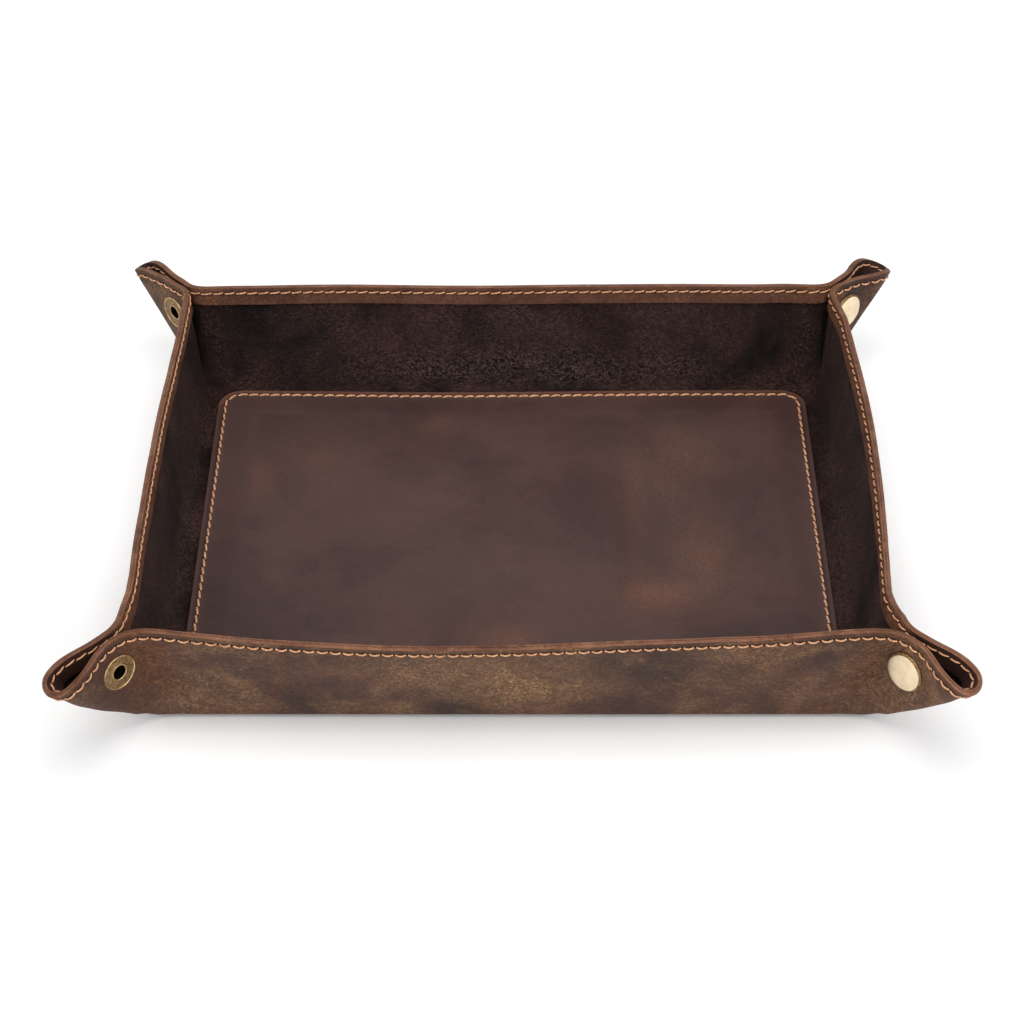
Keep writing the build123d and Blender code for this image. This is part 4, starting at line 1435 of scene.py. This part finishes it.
class StitchTool:
    """Sews rows of stitches with Geometry Nodes. Its sizes are in millimetres."""

    SIZES: ClassVar = {
        "Length": 4.25, "Thickness": 0.62, "Rise": 0.26, "Sink": 0.34, "Hole": 0.5, "Bow": 1.05,
        "Slant": 0.3,
    }

    def __init__(self, palette: Palette) -> None:
        """Build the node tree.

        Args:
            palette: The tray's materials.
        """
        self.palette = palette
        self.tree = bpy.data.node_groups.new("Saddle stitches", "GeometryNodeTree")
        inputs = {"Geometry": "Geometry"} | dict.fromkeys(self.SIZES, "Float")
        inputs |= {"Thread": "Material", "Hole finish": "Material"}
        for label, kind in inputs.items():
            socket = self._socket(label, "INPUT", kind)
            if label in self.SIZES:
                socket.default_value = self.SIZES[label] * MM
        self._socket("Geometry", "OUTPUT", "Geometry")
        bench = NodeBench(self.tree)
        ports = bench.ports(bench.add("NodeGroupInput"))
        tubes = self._tubes(bench, ports)
        # A flat dark dimple at each needle hole, painted shade inside the hole
        feeds = {"Radius": ports["Hole"], "Subdivisions": 2}
        dimple = bench.wire("GeometryNodeMeshIcoSphere", feeds)
        hole = bench.wire("GeometryNodeTransform", {"Geometry": dimple, "Scale": (1.0, 0.8, 0.22)})
        upright = bench.wire(
            "FunctionNodeAlignRotationToVector",
            {"Vector": self._attribute(bench, "stitch_normal", "FLOAT_VECTOR")},
            axis="Z",
        )
        turned = bench.wire(
            "FunctionNodeAlignRotationToVector",
            {"Rotation": upright, "Vector": self._attribute(bench, "stitch_run", "FLOAT_VECTOR")},
            axis="X",
            pivot_axis="Z",
        )
        kind = self._attribute(bench, "stitch_kind", "INT")
        joined = bench.add("GeometryNodeJoinGeometry")
        for shape, chosen, finish in (
            (tubes[0], Stitch.BOWED, "Thread"),
            (tubes[1], Stitch.SLANTED, "Thread"),
            (hole, Stitch.HOLE, "Hole finish"),
        ):
            feeds = {"A": kind, "B": float(chosen.value)}
            picked = bench.wire("FunctionNodeCompare", feeds, data_type="FLOAT", operation="EQUAL")
            feeds = {"Points": ports["Geometry"], "Selection": picked, "Instance": shape}
            made = bench.wire("GeometryNodeInstanceOnPoints", feeds | {"Rotation": turned})
            for step in ("GeometryNodeRealizeInstances", "GeometryNodeSetShadeSmooth"):
                made = bench.wire(step, {"Geometry": made})
            feeds = {"Geometry": made, "Material": ports[finish]}
            made = bench.wire("GeometryNodeSetMaterial", feeds)
            self.tree.links.new(made.socket, joined.inputs[0])
        bench.add("NodeGroupOutput", {0: Wire(bench, joined.outputs[0])})

    def _socket(self, name: str, way: str, kind: str) -> bpy.types.NodeTreeInterfaceSocket:
        """Add an input or an output to the tree."""
        kind = f"NodeSocket{kind}"
        return self.tree.interface.new_socket(name=name, in_out=way, socket_type=kind)

    @staticmethod
    def _attribute(bench: NodeBench, name: str, kind: str) -> Wire:
        """Read a named attribute."""
        node = bench.add("GeometryNodeInputNamedAttribute", {"Name": name}, data_type=kind)
        return Wire(bench, next(output for output in node.outputs if output.enabled))

    @staticmethod
    def _tubes(bench: NodeBench, ports: dict[str, Wire]) -> list[Wire]:
        """Make a bowed and a slanted stitch, and return both."""

        def vector(*values: object) -> Wire:
            """Join three numbers into a vector."""
            return bench.wire("ShaderNodeCombineXYZ", dict(enumerate(values)))

        half, under = ports["Length"] * 0.5, ports["Sink"] * -1.0
        back, against = half * -1.0, ports["Slant"] * -1.0
        peak = ports["Rise"].line(2.0, ports["Sink"])
        feeds = {"Resolution": 8, "Radius": ports["Thickness"] * 0.5}
        ring = bench.wire("GeometryNodeCurvePrimitiveCircle", feeds, mode="RADIUS")
        tubes = []
        for bow, first, last in ((ports["Bow"], 0.0, 0.0), (0.0, against, ports["Slant"])):
            feeds = {"Start": vector(back, first, under), "Middle": vector(0.0, bow, peak)}
            feeds |= {"End": vector(half, last, under), "Resolution": 9}
            strand = bench.wire("GeometryNodeCurveQuadraticBezier", feeds)
            feeds = {"Curve": strand, "Profile Curve": ring, "Fill Caps": True}
            tubes.append(bench.wire("GeometryNodeCurveToMesh", feeds))
        return tubes

    def sew(
        self,
        name: str,
        points: Array,
        normals: Array,
        runs: Array,
        kinds: Array,
        sizes: dict[str, float],
    ) -> Object:
        """Sew stitches and needle holes at given points.

        Args:
            name: Name of the finished piece.
            points: Middle of each stitch or hole, in millimetres.
            normals: Direction away from the leather at each.
            runs: Direction of the stitching at each.
            kinds: Value of the Stitch at each.
            sizes: Sizes in millimetres that differ from the tool's own, by name.

        Returns:
            The stitches as one plain mesh.
        """
        mesh = plain_mesh(name + "_places", (points * MM).tolist())
        for label, values in (("stitch_normal", normals), ("stitch_run", runs)):
            layer = mesh.attributes.new(label, "FLOAT_VECTOR", "POINT")
            layer.data.foreach_set("vector", values.astype(np.float32).ravel())
        layer = mesh.attributes.new("stitch_kind", "INT", "POINT")
        layer.data.foreach_set("value", kinds.astype(np.int32))
        places = show(name + "_places", mesh)
        modifier = places.modifiers.new("stitches", "NODES")
        modifier.node_group = self.tree
        inputs = (item for item in self.tree.interface.items_tree if item.in_out == "INPUT")
        sockets = {item.name: item.identifier for item in inputs}
        values = {"Thread": self.palette.thread, "Hole finish": self.palette.hole}
        values |= {label: value * MM for label, value in sizes.items()}
        for label, value in values.items():
            modifier[sockets[label]] = value
        bpy.context.view_layer.update()
        graph = bpy.context.evaluated_depsgraph_get()
        sewn = bpy.data.meshes.new_from_object(places.evaluated_get(graph))
        sewn.name = name
        bpy.data.objects.remove(places)
        LOG.info("%s: %d faces", name, len(sewn.polygons))
        return show(name, sewn)


@dataclass(frozen=True)
class RimStitching:
    """The stitch line round the tray's rim, on both faces."""

    work: LeatherWork
    tool: StitchTool
    inset: float = 2.4
    pitch: float = 4.35

    def places(self, side: Side, neighbour: Side | None) -> tuple[Array, Array, Array]:
        """Return the stitch places of a wall, or of one ear flap.

        Args:
            side: The wall, or the flap's own side.
            neighbour: The flap's other side, or None for a wall.

        Returns:
            Places in the flat blank, the direction over the rim there, and whether each is a hole.
        """
        work, blank = self.work, self.work.blank
        half, reach = blank.half_length(side), blank.corner_radius - self.inset
        tip = blank.wall_height - blank.corner_radius
        length = half + tip + reach * math.pi / 4
        count = round(length / self.pitch)
        numbers = np.arange(0, 2 * count + 1)
        stations = numbers * (length / count) / 2
        own = stations < half + work.rim_start
        flats, overs, holes = [], [], []
        for end in side.ends if neighbour is None else (neighbour,):
            chosen = own if neighbour is None else ~own
            if neighbour is None and end is side.ends[1]:
                chosen = chosen & (numbers > 0)
            past = stations[chosen] - half
            turn = np.clip((past - tip) / reach, 0.0, math.pi / 4)
            beyond = np.minimum(past, tip) + reach * np.sin(turn)
            flats.append(work.place(side, end, tip + reach * np.cos(turn), beyond))
            overs.append(over_rim(side, end, turn))
            holes.append(numbers[chosen] % 2 == 0)
        return np.concatenate(flats), np.concatenate(overs), np.concatenate(holes)

    def build(self, side: Side, neighbour: Side | None = None) -> Object:
        """Sew one wall's or one ear flap's share of the rim."""
        blank = self.work.blank
        flat, direction, holes = self.places(side, neighbour)
        point, normal, runs = self.work.sheet.at(flat)
        over = np.einsum("na,nac->nc", direction, runs)
        outer, inner = -blank.leather / 2, blank.leather / 2 + blank.glue + blank.facing
        name = side.label if neighbour is None else ear_label(side, neighbour)
        return self.tool.sew(
            f"{name}_stitching",
            np.concatenate([point + normal * outer, point + normal * inner]),
            np.concatenate([-normal, normal]),
            np.concatenate([np.cross(over, normal), np.cross(normal, over)]),
            np.concatenate([~holes * Stitch.BOWED.value, ~holes * Stitch.SLANTED.value]),
            {},
        )


# Floor panel


@dataclass(frozen=True)
class FloorPanel:
    """The leather panel sewn over the stiff board, with its stitch line."""

    palette: Palette
    tool: StitchTool
    width: float = 231.06
    depth: float = 172.06
    corner_radius: float = 9.5
    hollow: float = 1.3  # How far its back edge bows towards the front
    bottom: float = 1.45  # Height of its underside
    leather: float = 1.4
    board: float = 1.05  # How far the board lifts its middle
    shoulder: float = 11.0  # Width of the slope from its margin up to its middle
    pocket_inset: float = 6.7  # Distance from its edge to the board's pocket
    stitch_inset: float = 3.0  # Distance from its edge to the stitches
    pitch: float = 4.25
    # Where its surface is rubbed, above 0, or darker, below 0; the two darker patches at the back
    # corners are painted shade
    rubbed_and_shaded: tuple[WaxAndShadePatch, ...] = wax_patches(
        (-97, 34, 7, 14, 0.22), (-75, 44, 7, 8, 0.25), (-32, 60, 6, 9, 0.2),
        (-40, -66, 34, 5, 0.4), (-2, -58, 12, 7, 0.35), (64, 40, 12, 18, 0.3),
        (46, 10, 4, 42, 0.25), (70, -10, 12, 26, 0.3), (52, -34, 12, 8, 0.35),
        (-96, 70, 26, 20, -1.0), (98, 74, 20, 14, -0.6),
    )

    def ring(
        self, inset: float, per_corner: int = 14, along: tuple[int, int] = (60, 44)
    ) -> tuple[Array, Array]:
        """Go round the panel's outline at an inset.

        Args:
            inset: Distance from the panel's edge.
            per_corner: Number of steps round each corner.
            along: Number of steps along the long and the short edges.

        Returns:
            The points and the outward directions.
        """
        radius = max(self.corner_radius - inset, 0.6)
        wide, deep = self.width / 2 - inset - radius, self.depth / 2 - inset - radius
        corners = np.array([(wide, deep), (-wide, deep), (-wide, -deep), (wide, -deep)])
        points, outs = [], []
        for index, corner in enumerate(corners):
            angles = np.radians(90.0 * index + np.linspace(0, 90, per_corner + 1))
            out = np.stack([np.cos(angles), np.sin(angles)], axis=1)
            arc = corner + radius * out
            end = corners[(index + 1) % 4] + radius * out[-1]
            share = np.linspace(0, 1, along[index % 2] + 1)[1:-1, None]
            points += [arc, arc[-1] + (end - arc[-1]) * share]
            outs += [out, np.repeat(out[-1:], len(share), axis=0)]
        ring = np.concatenate(points)
        bow = np.exp(-(((ring[:, 0] + 24.0) / 58.0) ** 2)) * smooth(ring[:, 1] / 60.0)
        ring[:, 1] -= self.hollow * bow
        return ring, np.concatenate(outs)

    def profile(self) -> list[tuple[float, float, float]]:
        """Return inset, height and normal angle from the underside's middle round to the top."""
        low, top, pocket, edge = self.bottom, self.bottom + self.leather, self.pocket_inset, 0.55
        rows = [(pocket + 3, low + self.board, -90.0), (pocket + 0.3, low + self.board, -90.0)]
        rows += [(pocket, low + 0.3, -135.0), (pocket - 0.3, low, -90.0)]
        rows += [(0.25, low, -90.0), (0.0, low + 0.25, 0.0), (0.0, top - edge, 0.0)]
        for turn in (30.0, 60.0, 90.0):
            over, down = 1 - math.cos(math.radians(turn)), 1 - math.sin(math.radians(turn))
            rows.append((edge * over, top - edge * down, turn))
        margin = 4.3
        for inset, drop, tilt in ((1.6, 0.0, 0), (2.3, 0.07, -12), (3.0, 0.16, 0), (3.7, 0.06, 14)):
            rows.append((inset, top - drop, 90.0 + tilt))
        rows.append((margin, top, 92.0))
        for share in np.arange(1, 11) / 10:
            slope = math.degrees(math.atan(self.board * 6 * share * (1 - share) / self.shoulder))
            height = top + self.board * smooth(share)
            rows.append((margin + self.shoulder * share, height, 90.0 - slope))
        return rows

    def build(self) -> Object:
        """Build the panel."""
        piece, rows = Piece("floor_panel_leather"), []
        for inset, height, angle in self.profile():
            flat, out = self.ring(inset)
            turn, column = math.radians(angle), np.ones((len(out), 1))
            normal = np.concatenate([out * math.cos(turn), column * math.sin(turn)], axis=1)
            points = np.concatenate([flat, column * height], axis=1)
            # A painted highlight along the back edge, carried by the pull mark
            back_highlight = smooth((flat[:, 1] - 70.0) / 12.0)
            edge = 0.5 * (1 - smooth(np.float64(inset - 1.9))) * back_highlight
            front = 1 - smooth((flat[:, 1] - 72.0) / 10.0)
            margin = (smooth(np.float64((inset - 2.2) / 1.4)) - 1) * front
            rows.append(piece.add_points(points, normal, flat, inset - 0.2, (edge, margin, 0.0)))
        grid = np.stack(rows)
        piece.add_faces(np.concatenate([grid, grid[:, :1]], axis=1))
        field, inner = height, [grid[-1]]
        for scale in np.linspace(0.97, 0.03, 33):
            x, y = (flat * scale).T
            bulge = 0.12 * np.sin(x / 37.0 + 0.6) * np.sin(y / 29.0 + 1.2)
            points = np.stack([x, y, field + bulge * (1 - scale**4)], axis=1)
            rubbed_and_shaded = moved_wax_and_shade(self.rubbed_and_shaded, x, y)
            marks = (np.maximum(rubbed_and_shaded, 0.0), np.minimum(rubbed_and_shaded, 0.0), 0.0)
            up = np.tile([0.0, 0.0, 1.0], (len(flat), 1))
            inner.append(piece.add_points(points, up, flat * scale, marks=marks))
        top = np.stack(inner)
        piece.add_faces(np.concatenate([top, top[:, :1]], axis=1))
        piece.add_face(top[-1], 0)
        piece.add_face(grid[0][::-1], 0)
        return piece.finish([self.palette.panel])

    def stitching(self) -> Object:
        """Sew the panel's stitch line, with its bobbin side under the base."""
        flat, _ = self.ring(self.stitch_inset, 24, (220, 170))
        closed = np.concatenate([flat, flat[:1]])
        lengths = np.concatenate([[0.0], np.cumsum(np.hypot(*np.diff(closed, axis=0).T))])
        numbers = np.arange(2 * round(lengths[-1] / self.pitch))
        stations = (numbers + 0.5) * lengths[-1] / len(numbers)
        after = (stations + 0.5) % lengths[-1]
        x, y = (np.interp(stations, lengths, closed[:, axis]) for axis in (0, 1))
        run_x, run_y = (np.interp(after, lengths, closed[:, axis]) for axis in (0, 1))
        run = np.stack([run_x - x, run_y - y, np.zeros_like(x)], axis=1)
        up = np.tile([0.0, 0.0, 1.0], (len(x), 1))
        points = [np.stack([x, y, np.full_like(x, height)], 1) for height in self.stitch_heights]
        return self.tool.sew(
            "floor_stitching",
            np.concatenate(points),
            np.concatenate([up, -up]),
            np.concatenate([run, run]),
            np.tile((numbers % 2 == 0) * Stitch.SLANTED.value, 2),
            {"Length": 3.8, "Thickness": 0.86},
        )

    @property
    def stitch_heights(self) -> tuple[float, float]:
        """Heights of the stitches on the panel and under the base."""
        return self.bottom + self.leather - 0.16, 0.49


# Snaps


@dataclass(frozen=True)
class Snap:
    """One corner's snap fastener: cap and socket on one flap, eyelet and stud on the other."""

    work: LeatherWork
    palette: Palette

    @property
    def blank(self) -> Blank:
        """The blank that the snap is set in."""
        return self.work.blank

    @property
    def inner_face(self) -> float:
        """Distance from the ear's middle plane to its flaps' inner faces."""
        return self.blank.ear_offset - self.blank.leather / 2

    def lathe(
        self,
        kind: str,
        side: Side,
        neighbour: Side,
        outline: Sequence[tuple[float, float]],
        materials: Sequence[Material],
        finishes: dict[int, int] | None = None,
    ) -> Object:
        """Turn an outline of radius and height round a snap's axis.

        Args:
            kind: Name of the kind of piece.
            side: The flap's own side.
            neighbour: The flap's other side.
            outline: Closed or axis-to-axis outline, as radius and height.
            materials: The piece's materials.
            finishes: Material number of each step of the outline that doesn't have the first one.

        Returns:
            The turned piece.
        """
        name, place = f"{corner_label(side, neighbour)}_{kind}", self.place(side, neighbour)
        piece, segments, rings, points = Piece(name), 64, [], []
        for radius, height in outline:
            count = segments if radius > 1e-6 else 1
            rings.append([len(points) + index % count for index in range(segments + 1)])
            for angle in 2 * math.pi * np.arange(count) / segments:
                point = Vector((radius * math.cos(angle), radius * math.sin(angle), height))
                points.append(place @ point * MM)
        rings += rings[:1] if outline[0][0] > 0 else []
        steps = range(len(rings) - 1)
        piece.add_faces(np.array(rings), [(finishes or {}).get(step, 0) for step in steps])
        mesh = plain_mesh(name, points, piece.faces, materials, piece.finishes)
        mesh.validate()
        shell = bmesh.new()
        shell.from_mesh(mesh)
        bmesh.ops.recalc_face_normals(shell, faces=shell.faces)
        shell.to_mesh(mesh)
        shell.free()
        mesh.set_sharp_from_angle(angle=math.radians(40))
        LOG.info("%s: %d faces", name, len(mesh.polygons))
        return show(name, mesh)

    def place(self, side: Side, neighbour: Side) -> Matrix:
        """Return a snap half's frame on the ear's middle plane, with its axis out of its flap."""
        rise, reach = self.blank.snap_place
        spread = [(rise + a, reach + b) for a in (-4.0, 0.0, 4.0) for b in (-4.0, 0.0, 4.0)]
        point, normal, _ = self.work.sheet.at(self.work.place(side, neighbour, *np.array(spread).T))
        axis = -Vector(normal.mean(axis=0)).normalized()
        sideways = Vector((0.0, 0.0, 1.0)).cross(axis).normalized()
        place = Matrix((sideways, axis.cross(sideways), axis)).transposed().to_4x4()
        place.translation = Vector(point[4]) - axis * self.blank.ear_offset
        return place

    def cap(self, side: Side, neighbour: Side) -> Object:
        """Build the domed cap, its post and the post's turned-over head."""
        face = self.blank.ear_offset + self.blank.leather / 2
        outline = [(0.0, face + 1.95)]
        outline += [(6.55 * n, face + 1.95 - 0.6 * n**3) for n in np.linspace(0.12, 1.0, 12)]
        edge = (
            (6.7, 1.2), (6.82, 1.02), (6.92, 0.98), (7.06, 0.95), (7.18, 0.82), (7.28, 0.62),
            (7.32, 0.4), (7.3, 0.2), (7.2, 0.06), (7.0, -0.04), (1.7, -0.04),
        )
        outline += [(radius, face + rise) for radius, rise in edge]
        outline += [(1.7, 1.05), (2.3, 1.02), (2.3, 0.62), (2.0, 0.5), (0.0, 0.5)]
        materials = [self.palette.brass, self.palette.patina_and_rim_shade]
        # The cap's rolled rim is darkened brass all round: painted shade of the rim
        finishes = dict.fromkeys(range(12, 22), 1)
        return self.lathe("cap", side, neighbour, outline, materials, finishes)

    def socket(self, side: Side, neighbour: Side) -> Object:
        """Build the socket ring inside the cap's flap."""
        face = self.inner_face
        outline = [
            (1.76, face), (4.5, face), (4.7, face - 0.2), (4.7, -0.15), (4.5, -0.35), (3.2, -0.35),
            (3.0, -0.15), (3.0, face - 0.65), (1.76, face - 0.65),
        ]
        return self.lathe("socket", side, neighbour, outline, [self.palette.worn_brass])

    def stud(self, side: Side, neighbour: Side) -> Object:
        """Build the stud inside the eyelet's flap."""
        face = self.inner_face
        outline = [
            (1.85, face), (4.4, face), (4.6, face - 0.2), (4.5, face - 0.7), (2.6, face - 0.7),
            (2.4, face - 0.9), (2.4, -0.2), (2.25, -0.35), (1.85, -0.35),
        ]
        return self.lathe("stud", side, neighbour, outline, [self.palette.worn_brass])

    def eyelet(self, side: Side, neighbour: Side) -> Object:
        """Build the eyelet: a raised rim, a darkened dish and a raised ring round its hole, whose
        bore is painted near black as painted shade.
        """
        face = self.blank.ear_offset + self.blank.leather / 2
        plate = (
            (1.75, -1.75), (2.45, -1.15), (2.9, -0.25), (3.0, 0.0), (6.3, 0.0), (6.5, 0.12),
            (6.5, 0.34), (6.38, 0.5), (6.2, 0.55), (6.02, 0.46), (5.9, 0.34), (3.05, 0.3),
            (2.97, 0.36), (2.85, 0.4), (2.73, 0.4), (2.63, 0.34), (2.55, 0.2), (2.45, -0.2),
            (2.1, -1.0), (1.3, -1.4),
        )
        outline = [(1.3, -0.35), (1.75, -0.35)]
        outline += [(radius, face + rise) for radius, rise in plate]
        materials = [self.palette.worn_brass, self.palette.patina_and_rim_shade, self.palette.bore_shade]
        finishes = {12: 1} | dict.fromkeys(range(18, 22), 2)
        return self.lathe("eyelet", side, neighbour, outline, materials, finishes)


# The whole tray


class Tray:
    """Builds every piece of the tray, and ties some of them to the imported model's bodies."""

    EYELET_FLAPS = (
        (Side.FRONT, Side.LEFT), (Side.RIGHT, Side.FRONT),
        (Side.BACK, Side.RIGHT), (Side.LEFT, Side.BACK),
    )

    def __init__(self) -> None:
        """Fold the sheet and prepare the tools."""
        self.blank = Blank()
        self.sheet = FoldedSheet(self.blank)
        self.palette = Palette()
        self.work = LeatherWork(self.sheet, self.palette)
        self.stitches = StitchTool(self.palette)
        self.rim = RimStitching(self.work, self.stitches)
        self.panel = FloorPanel(self.palette, self.stitches)
        self.snap = Snap(self.work, self.palette)

    def build(self) -> None:
        """Build the base, the walls, the ears and the snaps."""
        self.build_base()
        for side in Side:
            self.build_wall(side)
            for neighbour in side.ends:
                self.build_flap(side, neighbour)

    def build_base(self) -> None:
        """Build the base's leather, the floor panel and its stitching."""
        for piece, node, slot in (
            (self.work.base(), "base_leather", "body_leather"),
            (self.panel.build(), "floor_panel", "panel_leather"),
            (self.panel.stitching(), "floor_thread", "tan_thread"),
        ):
            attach(piece, "base")
            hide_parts(node)
        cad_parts["floor_board"].data.materials.clear()
        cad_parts["floor_board"].data.materials.append(self.palette.board)

    def build_wall(self, side: Side) -> None:
        """Build one wall with its facing strip and stitching."""
        body = f"{side.label}_wall"
        distance, bend = self.blank.distance(side), self.blank.bend_half
        low, high = (self.spot((distance + out) * side.outward) for out in (-bend, bend))
        for neighbour in side.ends:
            cup = self.work.cup(side, neighbour)
            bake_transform(cup)
        leather = self.work.wall(side)
        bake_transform(leather)
        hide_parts(body)
        for piece, node, slot in (
            (self.work.facing(side), f"{side.label}_facing", "facing_leather"),
            (self.rim.build(side), f"{side.label}_thread", "tan_thread"),
        ):
            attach(piece, body)
            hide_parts(node)

    def spot(self, flat: Array) -> tuple[float, ...]:
        """Return a place of the flat blank on the folded sheet, in metres."""
        return tuple(self.sheet.at(flat[None])[0][0] * MM)

    def build_flap(self, side: Side, neighbour: Side) -> None:
        """Build one ear flap with its facing strip, stitching and half of its snap."""
        corner = corner_label(side, neighbour)
        wall, body = f"{side.label}_wall", ear_label(side, neighbour)
        rise, half, drilled = 26.0, 5.0, (side, neighbour) in self.EYELET_FLAPS
        middle = rise * self.blank.slant - self.blank.ear_offset * ROOT2
        low, high = (
            self.spot(self.work.place(side, neighbour, rise, middle + shift))
            for shift in (-half, half)
        )
        for piece, node, slot in (
            (self.work.flap(side, neighbour, drilled), body, "body_leather"),
            (self.work.facing(side, neighbour), f"{body}_facing", "facing_leather"),
            (self.rim.build(side, neighbour), f"{body}_thread", "tan_thread"),
        ):
            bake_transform(piece)
            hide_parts(node)
        if drilled:
            halves = ((self.snap.eyelet, "snap_eyelet"), (self.snap.stud, "snap_stud"))
        else:
            halves = ((self.snap.cap, "snap_cap"), (self.snap.socket, "snap_socket"))
        for make, node in halves:
            piece = make(side, neighbour)
            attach(piece, body)
            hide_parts(f"{corner}_{node}")


# Studio


@dataclass(frozen=True)
class Studio:
    """The camera, the lamps and the floor."""

    elevation: float = 41.0  # Camera's height angle in degrees
    distance: float = 0.940  # Distance from the camera to the point it looks at, in metres
    aim: tuple[float, float, float] = (0.0, 0.0155, 0.0)  # The point it looks at, in metres
    lens: float = 88.03  # Focal length in millimetres on a 36 mm sensor

    def camera(self) -> None:
        """Place the camera at the photograph's viewing angle."""
        camera = bpy.data.cameras.new("camera")
        camera.lens, camera.sensor_width = self.lens, 36.0
        holder = show("camera", camera)
        rise = math.radians(self.elevation)
        back = Vector((0.0, -math.cos(rise), math.sin(rise)))
        holder.location = Vector(self.aim) + back * self.distance
        holder.rotation_euler = (math.pi / 2 - rise, 0.0, 0.0)
        bpy.context.scene.camera = holder

    def lamp(self, name: str, place: tuple[float, float, float], size: float, watts: float) -> None:
        """Add a square soft lamp that points at the tray.

        Args:
            name: The lamp's name.
            place: Its place, in metres.
            size: Its width, in metres.
            watts: Its strength.
        """
        lamp = bpy.data.lights.new(name, "AREA")
        lamp.size, lamp.energy = size, watts
        holder = show(name, lamp)
        holder.location = place
        holder.rotation_euler = (-Vector(place)).to_track_quat("-Z", "Y").to_euler()

    def floor(self) -> None:
        """Add the white floor, which keeps the tray's shadow.

        It is see-through from below and right under the tray, so that the underside is lit too. It
        glows a little round the tray and more far away, for the camera and for reflections.
        """
        material, bench = material_bench("Studio floor")
        path = bench.ports(bench.add("ShaderNodeLightPath"))
        seen = path["Is Camera Ray"].at_least(path["Is Glossy Ray"])
        place = bench.wire("ShaderNodeTexCoord", output="Object")
        place = bench.ports(bench.add("ShaderNodeSeparateXYZ", {0: place}))
        outside = (abs(place["X"]) - 0.121).at_least(abs(place["Y"]) - 0.0915)
        glow = place["Y"].ramp(-0.09, 0.02).line(0.15, 0.1) * outside.ramp(0.0, 0.012)
        glow = outside.ramp(0.15, 0.6).line(0.9, glow)
        glow = bench.wire("ShaderNodeEmission", {"Strength": seen * glow})
        paper = bench.wire("ShaderNodeBsdfDiffuse", {"Color": (0.93, 0.93, 0.93, 1.0)})
        both = bench.wire("ShaderNodeAddShader", {0: paper, 1: glow})
        touching = bench.maths("LESS_THAN", path["Ray Length"], 0.0006)
        beneath = bench.wire("ShaderNodeNewGeometry", output="Backfacing").at_least(touching)
        clear = bench.wire("ShaderNodeBsdfTransparent")
        shown = bench.wire("ShaderNodeMixShader", {0: beneath, 1: both, 2: clear})
        bench.add("ShaderNodeOutputMaterial", {"Surface": shown})
        corners = [(x, y, -0.0001) for x, y in ((-4, -4), (4, -4), (4, 4), (-4, 4))]
        mesh = plain_mesh("studio_floor", corners, [(0, 1, 2, 3)], [material])
        show("studio_floor", mesh)

    def world(self) -> None:
        """Set the world's soft light and the render's plain view."""
        scene = bpy.context.scene
        scene.world = bpy.data.worlds.new("studio")
        scene.world.use_nodes = True
        scene.world.node_tree.nodes.clear()
        bench = NodeBench(scene.world.node_tree)
        path = bench.ports(bench.add("ShaderNodeLightPath"))
        strength = path["Is Camera Ray"].at_least(path["Is Glossy Ray"]).line(0.55, 0.45)
        feeds = {"Color": (1.0, 1.0, 1.0, 1.0), "Strength": strength}
        sky = bench.wire("ShaderNodeBackground", feeds)
        bench.add("ShaderNodeOutputWorld", {"Surface": sky})
        scene.view_settings.view_transform = "Standard"

    def build(self) -> None:
        """Build the whole studio."""
        self.camera()
        self.lamp("top_softbox", (0.0, -0.2, 1.1), 0.8, 6.5)
        self.lamp("left_softbox", (-0.9, -0.6, 0.6), 0.7, 1.6)
        self.lamp("right_softbox", (0.9, -0.6, 0.6), 0.7, 2.6)
        self.lamp("front_softbox", (0.0, -1.3, 0.5), 0.9, 4.5)
        self.floor()
        self.world()


def main() -> None:
    """Build the studio and the tray."""
    logging.basicConfig(level=logging.INFO, format="%(name)s: %(message)s")
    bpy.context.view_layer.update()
    Studio().build()
    Tray().build()


if __name__ == "__main__":
    main()
